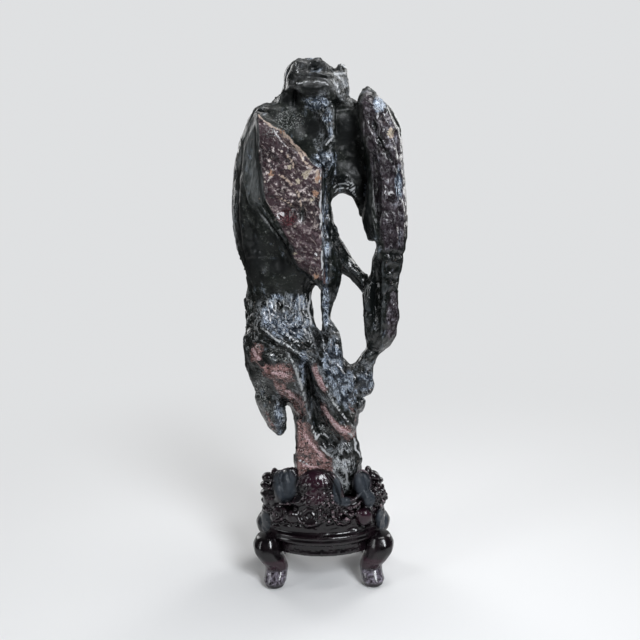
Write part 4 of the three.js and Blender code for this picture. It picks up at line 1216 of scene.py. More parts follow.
# %% Finish of the stone: specks
SPECK_SPACING = 5.6
specks = add_node(tree, "TexVoronoi", {"Vector": place, "Scale": 1 / (SPECK_SPACING * MM)})
choice = add_node(tree, "SeparateColor", {"Color": specks.outputs["Color"]}).outputs
speck_size = step(tree, choice[1], 0.0, 1.0, 0.05, 0.26)
outside = calculate(tree, "SUBTRACT", specks.outputs["Distance"], speck_size)
chosen = step(tree, choice[0], 0.66, 0.70)
speck = both(tree, step(tree, outside, -0.05, 0.02, 1.0, 0.0), chosen)

# %% [markdown]
# Wrinkles too fine for the mesh are bump, and thin pale lines are painted along their crests as painted
# highlights. They run with the grain: one drawn-out pattern for each of the four directions, and each shows
# where the grain follows it.

# %% Finish of the stone: wrinkles and their painted highlight lines
wrinkle = 0.0
painted_glint = 0.0
painted_hairline = 0.0
for turn in GRAIN_TURNS:
    runs = attribute_value(tree, f"run_{turn}")
    strongly = step(tree, runs, 0.3, 0.6)
    folded = grain(tree, drawn_out(tree, place, turn, 3.2), size=5.6, detail=3, rough=0.62, distortion=1.6)
    fold = calculate(tree, "MULTIPLY", crease(tree, folded, width=0.09), runs)
    wrinkle = calculate(tree, "ADD", wrinkle, fold)
    thin = calculate(tree, "MULTIPLY", crease(tree, folded, width=0.036), strongly)
    painted_glint = either(tree, painted_glint, thin)
    close = grain(tree, drawn_out(tree, place, turn, 4.0), size=2.6, detail=2, rough=0.5, distortion=1.0)
    thin = calculate(tree, "MULTIPLY", crease(tree, close, width=0.045), strongly)
    painted_hairline = either(tree, painted_hairline, thin)
# Painted highlights: the thin crest lines, kept in patches.
painted_glint_lines = both(tree, painted_glint, step(tree, medium, 0.38, 0.54))
painted_hairlines = both(tree, painted_hairline, step(tree, medium, 0.46, 0.60))

# %% Finish of the stone: the ground
BLACK_GREEN = (0.002, 0.0028, 0.0025)
DARK_OLIVE = (0.009, 0.011, 0.009)
OLIVE_GREY = (0.018, 0.021, 0.019)
RUBBED_AND_HIGHLIGHT_GREY = (0.055, 0.061, 0.063)
calm = attribute_value(tree, "calm")
colour = blend(tree, step(tree, coarse, 0.35, 0.7), BLACK_GREEN, DARK_OLIVE)
colour = blend(tree, step(tree, mottle, 0.52, 0.75), colour, OLIVE_GREY)
# Paler where the stone stands out: partly rubbed wear, partly a painted highlight.
rubbed_and_highlit = both(tree, step(tree, attribute_value(tree, "worn"), 0.62, 1.0), step(tree, medium, 0.3, 0.65))
rubbed_and_highlit = both(tree, rubbed_and_highlit, step(tree, calm, 0.0, 0.8, 1.0, 0.3))
colour = blend(tree, rubbed_and_highlit, colour, RUBBED_AND_HIGHLIGHT_GREY)

# %% [markdown]
# On the front the grey bevel beside the flat facet has fine upright stripes, the crown of the head is a shade
# paler, and the side of the head is ribbed with pale hairlines, which are painted highlights, while its
# creases keep the darker ground as painted shade.

# %% Finish of the stone: bevel and head
BEVEL_DARK = (0.026, 0.029, 0.028)
BEVEL_PALE = (0.10, 0.105, 0.105)
CROWN_GREY = (0.036, 0.036, 0.037)
CHEEK_GREY = (0.042, 0.041, 0.039)
CHEEK_HIGHLIGHT_LINE = (0.32, 0.32, 0.31)
striped = blend(tree, step(tree, striae, 0.36, 0.64), BEVEL_DARK, BEVEL_PALE)
colour = blend(tree, attribute_value(tree, "bevel"), colour, striped)
crown = both(tree, attribute_value(tree, "crown"), step(tree, medium, 0.30, 0.55))
colour = blend(tree, crown, colour, CROWN_GREY)
cheek = attribute_value(tree, "cheek")
# Painted shade: the cheek's grey leaves out the wrinkles' creases, so they stay darker.
crease_shade = both(tree, wrinkle, step(tree, small, 0.35, 0.5))
smooth_cheek = both(tree, cheek, calculate(tree, "SUBTRACT", 1.0, crease_shade, clamp=True))
colour = blend(tree, smooth_cheek, colour, CHEEK_GREY)
# Painted highlights: pale lines along the cheek's wrinkles.
colour = blend(tree, both(tree, cheek, either(tree, painted_glint, painted_hairline)), colour, CHEEK_HIGHLIGHT_LINE)

# %% Finish of the stone: the mauve arm
MAUVE_BLACK = (0.010, 0.007, 0.009)
MAUVE = (0.046, 0.036, 0.043)
MAUVE_HIGHLIGHT_LINE = (0.20, 0.18, 0.20)
MAUVE_PAINTED_GLINT = (0.24, 0.23, 0.26)
arm_mask = ragged(tree, attribute_value(tree, "arm"), medium)
arm_colour = blend(tree, step(tree, mottle, 0.40, 0.66), MAUVE_BLACK, MAUVE)
# Painted highlights on the arm: pale hairlines, and pale specks as glints.
arm_colour = blend(tree, painted_hairlines, arm_colour, MAUVE_HIGHLIGHT_LINE)
arm_painted_glint = both(tree, step(tree, small, 0.53, 0.63), step(tree, medium, 0.42, 0.58))
arm_painted_glint = both(tree, arm_painted_glint, attribute_value(tree, "painted_glints"))
arm_colour = blend(tree, arm_painted_glint, arm_colour, MAUVE_PAINTED_GLINT)
colour = blend(tree, arm_mask, colour, arm_colour)

# %% [markdown]
# Below the facet the stone looks wet: painted highlights run down it as pale lines, and a slate-blue bloom
# lies between them. At the foot, on the right, the painted highlight lines are almost white.

# %% Finish of the stone: painted highlight lines and slate blue
WET_HIGHLIGHT_LINE = (0.34, 0.36, 0.38)
WET_HIGHLIGHT_HAIR = (0.26, 0.28, 0.30)
FOOT_HIGHLIGHT_STREAK = (0.80, 0.82, 0.84)
BLUE_BLACK = (0.005, 0.008, 0.013)
SLATE_BLUE = (0.034, 0.046, 0.066)
BLUE_HIGHLIGHT_HAIR = (0.40, 0.48, 0.62)
BLUE_HIGHLIGHT_LINE = (0.70, 0.78, 0.88)
wet = attribute_value(tree, "wet")
# Painted highlights: pale lines along the wrinkles of the wet-looking side, almost white on the foot and pale
# blue on the blue.
colour = blend(tree, both(tree, painted_glint_lines, step(tree, wet, 0.2, 0.9)), colour, WET_HIGHLIGHT_LINE)
colour = blend(tree, both(tree, painted_hairlines, step(tree, wet, 0.3, 1.0)), colour, WET_HIGHLIGHT_HAIR)
foot_highlight_streak = both(tree, attribute_value(tree, "highlight_streaks"), either(tree, painted_glint_lines, painted_hairlines))
colour = blend(tree, foot_highlight_streak, colour, FOOT_HIGHLIGHT_STREAK)
blue_mask = ragged(tree, attribute_value(tree, "blue"), medium, width=0.4, amount=1.8)
blue_colour = blend(tree, step(tree, mottle, 0.4, 0.65), BLUE_BLACK, SLATE_BLUE)
blue_colour = blend(tree, painted_hairlines, blue_colour, BLUE_HIGHLIGHT_HAIR)
blue_colour = blend(tree, painted_glint_lines, blue_colour, BLUE_HIGHLIGHT_LINE)
colour = blend(tree, blue_mask, colour, blue_colour)

# %% [markdown]
# The flat facet is a broken face of purple stone, full of cream and pink crystals. Their glints are painted
# on as pale specks, painted highlights that are dense in its upper half and sparse below, so their share
# follows the height on the front view. A red pit lies at its left edge.

# %% Finish of the stone: the flat facet
SLAB_DULL_BELOW = 365.0
SLAB_BRIGHT_ABOVE = 405.0
SLAB_DARK = (0.014, 0.007, 0.009)
SLAB_PURPLE = (0.040, 0.021, 0.026)
SLAB_MAUVE = (0.095, 0.062, 0.070)
SLAB_CRYSTAL_GLINT = (0.66, 0.58, 0.56)
SLAB_PIT = (0.012, 0.007, 0.009)
SLAB_VEIN = (0.52, 0.44, 0.40)
SLAB_SPECK = (0.50, 0.43, 0.38)
slab_mask = step(tree, attribute_value(tree, "slab"), 0.35, 0.65)
slab_colour = blend(tree, step(tree, coarse, 0.35, 0.65), SLAB_DARK, SLAB_PURPLE)
slab_colour = blend(tree, step(tree, mottle, 0.48, 0.62), slab_colour, SLAB_MAUVE)
front = add_node(tree, "Attribute", attribute_name="front").outputs["Vector"]
front_height = add_node(tree, "SeparateXYZ", {"Vector": front}).outputs["Y"]
upper_slab = step(tree, front_height, SLAB_DULL_BELOW, SLAB_BRIGHT_ABOVE, 0.35, 1.0)
# Painted highlights: the crystals' glints, pale specks in beds.
glint_beds = both(tree, step(tree, mottle, 0.44, 0.54), step(tree, medium, 0.42, 0.56))
crystal_glints = both(tree, both(tree, step(tree, small, 0.52, 0.60), glint_beds), upper_slab)
slab_colour = blend(tree, crystal_glints, slab_colour, SLAB_CRYSTAL_GLINT)
slab_colour = blend(tree, step(tree, small, 0.34, 0.44, 0.8, 0.0), slab_colour, SLAB_PIT)
slab_colour = blend(tree, both(tree, vein, step(tree, small, 0.42, 0.55)), slab_colour, SLAB_VEIN)
slab_colour = blend(tree, both(tree, speck, upper_slab), slab_colour, SLAB_SPECK)

# %% Finish of the stone: the red pit
RED_BLACK = (0.022, 0.006, 0.008)
RED_GRAIN = (0.13, 0.038, 0.045)
red = attribute_value(tree, "red")
red_grains = step(tree, calculate(tree, "MULTIPLY", red, step(tree, small, 0.3, 0.5)), 0.3, 0.6)
slab_colour = blend(tree, step(tree, red, 0.1, 0.8), slab_colour, RED_BLACK)
slab_colour = blend(tree, both(tree, red_grains, step(tree, tiny, 0.50, 0.60)), slab_colour, RED_GRAIN)
colour = blend(tree, slab_mask, colour, slab_colour)

# %% [markdown]
# Salmon-pink patches lie on the lower body and the foot, with black grains and paler crumbs in them. A few
# rosy lines run along their swellings.

# %% Finish of the stone: salmon pink
SALMON_DEEP = (0.11, 0.052, 0.047)
SALMON = (0.30, 0.165, 0.155)
SALMON_GRAIN = (0.016, 0.010, 0.009)
SALMON_CRUMB = (0.55, 0.40, 0.39)
SALMON_BLACK = (0.010, 0.009, 0.008)
ROSY_DEEP = (0.20, 0.095, 0.095)
ROSY_PALE = (0.62, 0.46, 0.47)
salmon_mask = ragged(tree, attribute_value(tree, "salmon"), mottle, width=0.25, amount=2.4)
pinks = blend(tree, step(tree, medium, 0.4, 0.62), SALMON_DEEP, SALMON)
salmon_colour = blend(tree, step(tree, small, 0.38, 0.52), SALMON_GRAIN, pinks)
salmon_colour = blend(tree, step(tree, tiny, 0.54, 0.66), salmon_colour, SALMON_CRUMB)
salmon_colour = blend(tree, step(tree, mottle, 0.55, 0.62), salmon_colour, SALMON_BLACK)
colour = blend(tree, salmon_mask, colour, salmon_colour)
rosy = ragged(tree, attribute_value(tree, "rosy"), small, width=0.25, amount=1.6)
rosy_colour = blend(tree, step(tree, tiny, 0.4, 0.6), ROSY_DEEP, ROSY_PALE)
colour = blend(tree, rosy, colour, rosy_colour)

# %% [markdown]
# Last come the marks that lie over all of these: cream edges where the stone is rubbed through, pale grey
# painted highlights along its crests and ledges, and dust, specks and grains in its calm hollows.

# %% Finish of the stone: edges, painted crest highlights and dust
EDGE_BROWN = (0.16, 0.13, 0.11)
EDGE_CREAM = (0.60, 0.46, 0.37)
CREST_HIGHLIGHT_GREY = (0.50, 0.51, 0.52)
DULL_OLIVE = (0.022, 0.025, 0.021)
SPECK_GREY = (0.16, 0.17, 0.16)
DUST_GREY = (0.15, 0.16, 0.14)
GRAIN_GREY = (0.30, 0.31, 0.30)
pale_mask = ragged(tree, attribute_value(tree, "pale"), small, width=0.2, amount=2.0)
colour = blend(tree, pale_mask, colour, blend(tree, small, EDGE_BROWN, EDGE_CREAM))
# Painted highlights along the crests.
crest_highlight_mask = ragged(tree, attribute_value(tree, "crest"), small, width=0.25, amount=1.2)
colour = blend(tree, crest_highlight_mask, colour, CREST_HIGHLIGHT_GREY)
colour = blend(tree, both(tree, step(tree, small, 0.52, 0.66), calm), colour, DULL_OLIVE)
colour = blend(tree, both(tree, speck, calm), colour, SPECK_GREY)
dusty = both(tree, step(tree, medium, 0.44, 0.58), calm)
colour = blend(tree, both(tree, step(tree, tiny, 0.57, 0.66), dusty), colour, DUST_GREY)
grains = both(tree, step(tree, tiny, 0.53, 0.62), attribute_value(tree, "granular"))
colour = blend(tree, grains, colour, GRAIN_GREY)

# %% [markdown]
# A few peach-coloured and cream inclusions sit in the stone, most of them in the flat facet. The points
# carry their place on the front view, so the distance to a middle draws each spot sharply, whatever the
# mesh's spacing. Noise shakes that place first, which makes the spots ragged.

# %% Finish of the stone: inclusions
PEACH = (0.42, 0.25, 0.17)
CREAM = (0.50, 0.43, 0.33)
INCLUSIONS = [
    ((-45.5, 426), 2.9, PEACH), ((-27, 432), 2.2, CREAM), ((-12, 423.5), 3.4, CREAM),
    ((-8.5, 427), 2.4, CREAM), ((-3, 406), 3.4, PEACH), ((0.5, 421), 3.2, PEACH),
    ((-6, 400), 2.0, CREAM), ((-19, 418), 2.6, CREAM), ((-25, 346.5), 2.2, CREAM),
    ((-3, 323), 2.6, PEACH), ((71, 463), 3.6, CREAM), ((-34, 466), 2.4, PEACH),
]
SHAKE_SIZE = 2.4
SHAKE_AMOUNT = 9.0
shaking = add_node(tree, "TexNoise", {"Vector": place, "Scale": 1 / (SHAKE_SIZE * MM), "Detail": 3.0})
shake = shaking.outputs["Color"]
shake = add_node(tree, "VectorMath", {0: shake, 1: (0.5, 0.5, 0.5)}, operation="SUBTRACT").outputs[0]
shake = add_node(tree, "VectorMath", {0: shake, "Scale": SHAKE_AMOUNT}, operation="SCALE").outputs[0]
shaken_front = add_node(tree, "VectorMath", {0: front, 1: shake}, operation="ADD").outputs[0]
patchy = step(tree, tiny, 0.38, 0.60)
for middle, radius, tint in INCLUSIONS:
    mottled = blend(tree, patchy, [0.45 * value for value in tint], tint)
    distance = add_node(tree, "VectorMath", {0: shaken_front, 1: (*middle, 0)}, operation="DISTANCE")
    away = distance.outputs["Value"]
    colour = blend(tree, step(tree, away, radius * 0.75, radius * 1.1, 1.0, 0.0), colour, mottled)

# %% Finish of the stone: painted shade in the hollows
HOLLOW_SHADE_BLACK = (0.004, 0.005, 0.005)
# Painted shade: the deep hollows and the listed spots go near black.
deep = step(tree, attribute_value(tree, "deep"), 0.6, 0.95, 0.0, 0.8)
shade = either(tree, attribute_value(tree, "painted_shade"), deep)
colour = blend(tree, shade, colour, HOLLOW_SHADE_BLACK)
tree.links.new(colour, shader.inputs["Base Color"])

# %% [markdown]
# The polish is a clear coat over a slightly rough stone. The calm hollows and the bevel were never polished
# so high, so they lose the coat and are rougher. Three reliefs lie over each other: grains, wrinkles and
# the finest pits.

# %% Finish of the stone: gloss
quiet = either(tree, calm, attribute_value(tree, "bevel"))
polish = step(tree, small, 0.3, 0.7, 0.13, 0.26)
slab_dull = step(tree, slab_mask, 0.0, 1.0, 0.0, 0.05)
quiet_dull = step(tree, quiet, 0.0, 1.0, 0.0, 0.24)
rougher = calculate(tree, "ADD", slab_dull, quiet_dull)
tree.links.new(calculate(tree, "ADD", polish, rougher), shader.inputs["Roughness"])
tree.links.new(step(tree, quiet, 0.0, 0.7, 0.55, 0.0), shader.inputs["Coat Weight"])
shader.inputs["Specular IOR Level"].default_value = 0.28
shader.inputs["Coat Roughness"].default_value = 0.07

# %% Finish of the stone: fine relief
GRAIN_RELIEF = 1.9
WRINKLE_RELIEF = 0.9
PIT_RELIEF = 0.5
ARM_GRAIN = 0.35
grainy = either(tree, slab_mask, either(tree, calculate(tree, "MULTIPLY", arm_mask, ARM_GRAIN), salmon_mask))
unquiet = calculate(tree, "SUBTRACT", 1.0, either(tree, quiet, slab_mask), clamp=True)
wrinkled = both(tree, step(tree, wet, 0.0, 1.0, 0.25, 1.0), unquiet)
bump = bumped(tree, small, step(tree, grainy, 0.0, 1.0, 0.24, 0.8), GRAIN_RELIEF)
bump = bumped(tree, wrinkle, wrinkled, WRINKLE_RELIEF, below=bump)
bump = bumped(tree, tiny, step(tree, grainy, 0.0, 1.0, 0.12, 0.6), PIT_RELIEF, below=bump)
tree.links.new(bump, shader.inputs["Normal"])

# %% The stone's place in the model
stone.data.materials.clear()
stone.data.materials.append(stone_finish)
only(stone)
bpy.ops.object.shade_smooth()
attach(stone, "root")
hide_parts("rock")
print("nodes in the stone's finish:", len(tree.nodes))

# %% [markdown]
# The stand is one block of rosewood. Its plate is turned and carved to an oval with an apron and two beads,
# so it is drawn from a circle: its disc is extruded upwards and scaled at each step of a profile, then made
# oval.

# %% The plate
STAND_HALF_LENGTH = 66.0
STAND_HALF_DEPTH = 46.2
PLATE_CORNERS = 144
PLATE_PROFILE = [
    (0.850, 36.0), (0.905, 36.3), (0.925, 37.4), (0.930, 39.0), (0.915, 41.5), (0.903, 44.5), (0.903, 47.0),
    (0.915, 48.6), (0.945, 49.2), (0.975, 49.8), (0.993, 50.8), (1.000, 52.2), (0.995, 53.6), (0.978, 54.5),
    (0.958, 54.8), (0.956, 55.4), (0.972, 55.9), (0.980, 57.0), (0.974, 58.2), (0.956, 58.9), (0.932, 59.0),
    (0.925, 58.2), (0.905, 57.8), (0.60, 57.8),
]


def turned_plate(name, profile, half_depth):
    """An oval disc extruded and scaled along a profile of (share of the radius, height)."""
    bpy.ops.object.select_all(action="DESELECT")
    share, height = profile[0]
    radius = share * STAND_HALF_LENGTH * MM
    middle = (MIDDLE_X * MM, MIDDLE_Y * MM, height * MM)
    bpy.ops.mesh.primitive_circle_add(
        vertices=PLATE_CORNERS, radius=radius, fill_type="NGON", location=middle
    )
    piece = bpy.context.object
    piece.name = name
    bpy.ops.object.transform_apply(location=True, rotation=False, scale=False)
    bpy.ops.object.mode_set(mode="EDIT")
    bpy.ops.mesh.select_all(action="SELECT")
    for (before, low), (after, high) in zip(profile[:-1], profile[1:]):
        bpy.ops.mesh.extrude_region_move(TRANSFORM_OT_translate={"value": (0, 0, (high - low) * MM)})
        ratio = after / before
        middle = (MIDDLE_X * MM, MIDDLE_Y * MM, high * MM)
        bpy.ops.transform.resize(value=(ratio, ratio, 1), center_override=middle)
    bpy.ops.mesh.select_all(action="SELECT")
    flatten = half_depth / STAND_HALF_LENGTH
    bpy.ops.transform.resize(value=(1, flatten, 1), center_override=(MIDDLE_X * MM, MIDDLE_Y * MM, 0))
    bpy.ops.mesh.normals_make_consistent(inside=False)
    bpy.ops.object.mode_set(mode="OBJECT")
    return piece


DRUM_HALF_DEPTH = 38.5
DRUM_PROFILE = [
    (0.900, 50.0), (0.975, 51.0), (0.985, 54.0), (0.996, 58.0), (1.000, 62.0), (0.998, 67.0), (0.985, 72.0),
    (0.960, 76.5), (0.925, 80.0), (0.880, 82.0), (0.820, 82.5), (0.780, 80.0), (0.700, 72.0),
]
plate = turned_plate("plate", PLATE_PROFILE, STAND_HALF_DEPTH)
drum = turned_plate("drum", DRUM_PROFILE, DRUM_HALF_DEPTH)
print("faces of the plate and the drum:", len(plate.data.polygons), len(drum.data.polygons))

# %% [markdown]
# The carving on it is built up as a carver sees it: boulders, petals and knobs are stretched spheres, and
# scrolls, veins and lips are rods bent along a line. Each is placed on the front view with its depth. They
# could be sculpted from one block, but placed forms keep their outlines, and later they are all fused into
# one skin.

# %% Helpers for the carving
LARGE_KNOB = 6
THIN_END = 0.55
SPIRAL_STEPS = 10


def knob(u, v, depth, half, turn=0.0):
    """A sphere stretched to half sizes (across, up, deep) in mm and turned in the front view."""
    bpy.ops.object.select_all(action="DESELECT")
    finer = max(half) > LARGE_KNOB
    bpy.ops.mesh.primitive_ico_sphere_add(subdivisions=3 if finer else 2, radius=MM)
    piece = bpy.context.object
    piece.name = "knob"
    across, up, deep = half
    points = points_of(piece) * (across, deep, up)
    cosine, sine = math.cos(math.radians(turn)), math.sin(math.radians(turn))
    x, z = points[:, 0].copy(), points[:, 2].copy()
    points[:, 0], points[:, 2] = x * cosine - z * sine, x * sine + z * cosine
    set_points(piece, points + in_space(u, v, depth))
    return piece


def rod(radius, line):
    """A round rod along a line of (u, v, depth), smooth and thinner at its ends."""
    curve = bpy.data.curves.new("rod", "CURVE")
    curve.dimensions = "3D"
    curve.bevel_depth = radius * MM
    curve.bevel_resolution = 2
    curve.use_fill_caps = True
    spline = curve.splines.new("NURBS")
    spline.points.add(len(line) - 1)
    for index, (point, place) in enumerate(zip(spline.points, line)):
        point.co = (*(value * MM for value in in_space(*place)), 1)
        point.radius = THIN_END if index in (0, len(line) - 1) else 1.0
    spline.use_endpoint_u = True
    spline.order_u = 3
    spline.resolution_u = 6
    piece = bpy.data.objects.new("rod", curve)
    bpy.context.scene.collection.objects.link(piece)
    only(piece)
    bpy.ops.object.convert(target="MESH")
    return bpy.context.object


def spiral(u, v, depth, outer, inner, turns, start, radius):
    """A rod wound inwards like a snail, its end nearest to the eye."""
    count = int(SPIRAL_STEPS * turns) + 1
    line = []
    for index in range(count):
        share = index / (count - 1)
        angle = math.radians(start) + share * turns * 2 * math.pi
        distance = outer + (inner - outer) * share
        line.append((u + distance * math.cos(angle), v + distance * math.sin(angle), depth - 1.5 * share))
    return rod(radius, line)


def flipped_round(pieces):
    """Copies of the pieces turned half round about the stand's axis, for the back."""
    copies = []
    for piece in pieces:
        copy = piece.copy()
        copy.data = piece.data.copy()
        bpy.context.scene.collection.objects.link(copy)
        points = points_of(copy)
        points[:, 0] = 2 * MIDDLE_X - points[:, 0]
        points[:, 1] = 2 * MIDDLE_Y - points[:, 1]
        set_points(copy, points)
        copies.append(copy)
    return copies

# %% The carving of the front
FRONT_SPIRALS = [
    (-47.5, 66, -28, 8.5, 1.6, 1.9, 200, 2.0), (-33.5, 62, -33, 5.0, 1.2, 1.4, 60, 1.6),
    (-14, 61.5, -37, 12.5, 2.2, 2.4, 120, 2.0), (-27, 71, -33, 4.4, 1.4, 1.3, -30, 1.5),
    (2.5, 68, -38, 6.2, 2.6, 1.2, 150, 1.7), (21, 61.5, -37, 8.6, 3.0, 1.5, 30, 1.9),
    (37, 73, -32, 4.2, 1.4, 1.2, 80, 1.5),
]
FRONT_RODS = [
    (1.5, [(20, 80.5, -38), (25, 78.8, -40), (31, 79.5, -40), (37, 83, -38), (41, 88, -35)]),
    (1.6, [(19, 77, -39), (24, 72, -41), (30, 70.5, -41), (37, 73.5, -38), (41, 79, -35)]),
    (1.0, [(-47, 112, -25), (-44, 100, -27), (-43, 88, -27), (-45, 78, -26)]),
    (1.0, [(-36, 116, -26), (-33, 104, -28), (-33, 92, -28), (-36, 82, -27)]),
    (1.2, [(-49, 99, -24), (-47, 111, -23), (-40, 117, -23), (-32, 116, -24), (-27, 108, -27)]),
    (1.2, [(34, 108, -24), (38, 113.5, -22), (44, 114, -21), (50, 107, -21), (51, 96, -23), (47, 86, -27)]),
    (1.8, [(-28, 96, -34), (-25, 104, -33), (-19, 110.5, -32), (-11, 114, -31), (-3, 114.5, -31)]),
    (1.4, [(-20, 84, -38), (-23, 78, -39), (-18, 74, -40), (-12, 77, -41)]),
    (1.3, [(-2, 78, -42), (2, 72, -43), (8, 78, -42)]),
    (1.2, [(-8, 52, -39), (-11, 48, -39), (-7, 47, -39)]),
    (1.3, [(14, 58, -42), (18, 52, -42), (25, 52.5, -42), (31, 57, -40)]),
    (1.4, [(-60, 75, -14), (-55, 72, -22), (-47, 77, -29), (-38, 76, -32), (-30, 78, -34)]),
    (1.2, [(-29, 66, -37), (-26, 57, -38), (-20, 52, -39), (-10, 50, -40), (-2, 53, -40), (3, 58, -40)]),
    (1.2, [(-62, 58, -16), (-54, 54, -26), (-44, 55, -31), (-36, 53, -34)]),
]
FRONT_KNOBS = [
    (-4, 90.5, -28, (22, 26, 13.5), 2), (9, 80, -30, (14, 15, 11), 24), (-31, 97, -22, (9.5, 21.5, 6), 3),
    (-44, 96, -19, (9, 19, 6), 5), (-46, 82, -18, (11, 14, 8), 0), (43, 96, -16, (9, 17.5, 8), -8),
    (49, 82, -21, (8, 10, 8), 0), (-13, 97, -36, (4.6, 4.4, 4), 0), (-6, 99, -37, (3.6, 3.6, 3.4), 0),
    (-9, 90, -38, (4.0, 3.6, 3.6), 0), (-2, 93, -38, (3.8, 4.2, 3.4), 0), (3, 88, -38, (3.4, 3.2, 3.2), 0),
    (-16, 88, -37, (3.8, 3.6, 3.4), 0), (-20, 95, -34, (3.2, 4.4, 3), 0), (-11, 82, -40, (3.2, 3.2, 3), 0),
    (4, 81, -41, (3.2, 2.8, 2.8), 0), (10, 84, -41, (3.4, 3.0, 2.8), 20), (-2, 103, -35, (3.4, 3, 3), 0),
    (12, 77, -41, (3.0, 3.0, 2.8), 0), (-6, 76, -41, (2.6, 2.6, 2.4), 0),
    (15, 70, -42, (2.6, 4.0, 2.4), 10), (11, 65, -42, (2.4, 4.4, 2.4), -8),
    (30, 63, -40, (4.4, 3.6, 3), 15), (24, 57, -42, (5.4, 2.6, 2.4), 12),
    (-50, 112, -12, (4.2, 6.0, 6), 10), (-58, 108, -9, (6.4, 4.8, 6.5), 12), (-53, 105, -12, (5, 4, 6), 0),
    (-60, 99, -9, (6.2, 3.8, 7), -6), (-54, 96, -12, (5.4, 4.0, 7), 0), (-60, 90.5, -9, (6.2, 3.9, 8), 4),
    (-59, 82, -9, (6.6, 4.0, 8), 0), (-58, 73.5, -12, (7.0, 3.8, 9), 0), (-53, 88, -14, (4.4, 5, 7), 0),
    (48.5, 112, -12, (3.6, 6.4, 5.6), 12), (54.5, 107.5, -11, (7.0, 4.6, 6.4), -34),
    (60.5, 103, -10, (3.6, 2.8, 4.8), -30), (50, 103, -12, (5.0, 5.0, 6), 0), (46, 106, -12, (3, 5, 4), 0),
    (57, 98.5, -11, (5.4, 3.6, 6), 0), (44, 60.5, -30, (9.4, 10.0, 8.5), -6),
    (37, 64, -37, (3.4, 4.4, 3), 20), (52, 70, -26, (4.2, 3.6, 4), 0),
]
front_carving = [knob(*values) for values in FRONT_KNOBS]
front_carving += [rod(*values) for values in FRONT_RODS]
front_carving += [spiral(*values) for values in FRONT_SPIRALS]

# %% [markdown]
# The bank on the right is a heap of small pebbles. They are placed by chance, with a fixed seed, on an oval
# dome.

# %% The pebbled bank on the right
PEBBLE_BED = ((58.5, 84), (8.5, 14), -14, 10)
PEBBLES = 46
PEBBLE_SIZES = (2.0, 3.2)
PEBBLE_SEED = 11
chance = np.random.default_rng(PEBBLE_SEED)
(bank_u, bank_v), (half_u, half_v), bank_depth, bank_bulge = PEBBLE_BED
for _ in range(PEBBLES):
    angle = chance.uniform(0, 2 * math.pi)
    away = math.sqrt(chance.uniform(0, 1))
    size = chance.uniform(*PEBBLE_SIZES)
    bulge = bank_bulge * math.sqrt(1 - 0.9 * away**2)
    u = bank_u + half_u * away * math.cos(angle)
    v = bank_v + half_v * away * math.sin(angle)
    front_carving.append(knob(u, v, bank_depth - bulge, (size, size * 0.9, size)))
print("pieces of the front's carving:", len(front_carving))

# %% [markdown]
# The carved block under them is a copy of the stand's solid, smoothed until its facets are gone and held in
# where the drum goes round it. Copies of the front's low carving, turned half round, serve the back, which
# is not seen in the photograph. A voxel remesh then fuses plate, drum, block and carving into one skin.

# %% The stand, fused
BLOCK_VOXEL = 1.1
BLOCK_ROUNDS = 14
BLOCK_HALF_LENGTH = 60.0
BLOCK_NARROW_BELOW = 76
BLOCK_FADE = 4
BACK_CARVING_BELOW = 86
STAND_VOXEL = 0.92
STAND_ROUNDS = 2
block = merged_copy("stand", "rosewood stand")
apply_modifier(block, "REMESH", mode="VOXEL", voxel_size=BLOCK_VOXEL * MM, adaptivity=0)
apply_modifier(block, "SMOOTH", factor=0.5, iterations=BLOCK_ROUNDS)
points = points_of(block)
over = np.clip(np.abs(points[:, 0] - MIDDLE_X) - BLOCK_HALF_LENGTH, 0, None)
low_part = np.clip((BLOCK_NARROW_BELOW - points[:, 2]) / BLOCK_FADE, 0, 1)
points[:, 0] -= np.sign(points[:, 0] - MIDDLE_X) * over * low_part
set_points(block, points)
low_carving = [piece for piece in front_carving if points_of(piece)[:, 2].max() < BACK_CARVING_BELOW]
back_carving = flipped_round(low_carving)
stand = join([block, plate, drum, *front_carving, *back_carving])
apply_modifier(stand, "REMESH", mode="VOXEL", voxel_size=STAND_VOXEL * MM, adaptivity=0)
apply_modifier(stand, "SMOOTH", factor=0.5, iterations=STAND_ROUNDS)
carved = Sculpture(stand)
print("points of the stand:", len(carved.points))

# %% [markdown]
# Carving marks finish it: dark pockets are pushed in between the boulders, and the knobby dome, the
# crumpled clouds under it, the bank and the apron get small tool marks. The back of the carving, which is
# plainer, gets broad ones.

# %% Tool marks
POCKETS = [
    (-3.5, (-4, 85), (3.4, 4.6), 0), (-3.0, (-18, 83), (3.0, 4.6), 0), (-2.0, (-30, 82), (2.4, 5), -20),
    (-4.5, (29, 87), (7.5, 4.6), 12), (-3.0, (5, 65), (3.2, 5), 0), (-3.0, (19.5, 62), (4.2, 4.6), 0),
    (-2.5, (-31, 52), (16, 2.6), -6), (-2.5, (-52, 53.5), (7, 2.2), -16), (-2.0, (32, 46), (7, 2.4), 12),
    (-2.6, (-56, 84), (6, 1.4), 8), (-2.2, (-57, 92.5), (6, 1.4), 8), (-2.2, (-54, 101), (5, 1.4), 10),
    (-2.0, (52, 101.5), (5, 1.6), -20), (-2.0, (-27, 88), (4, 2), 0), (-2.0, (-24, 67), (2, 3), 0),
]
KNOBBY_DOME = [(-22, 106), (2, 106), (10, 92), (14, 72), (0, 70), (-24, 74), (-26, 92)]
BANK = [(48, 98), (66, 96), (69, 72), (52, 68), (46, 84)]
CRUMPLED_CLOUDS = [(-4, 80), (12, 84), (36, 68), (30, 51), (6, 49), (-8, 60)]
CARVING_FOOT = 60
APRON_TOP = 50
pocketed = sum(spot(carved.view, *values) for values in POCKETS) * carved.front
knobby = inside(carved.view, KNOBBY_DOME, 5.0)
bank = inside(carved.view, BANK, 4.0)
crumpled = inside(carved.view, CRUMPLED_CLOUDS, 5.0)
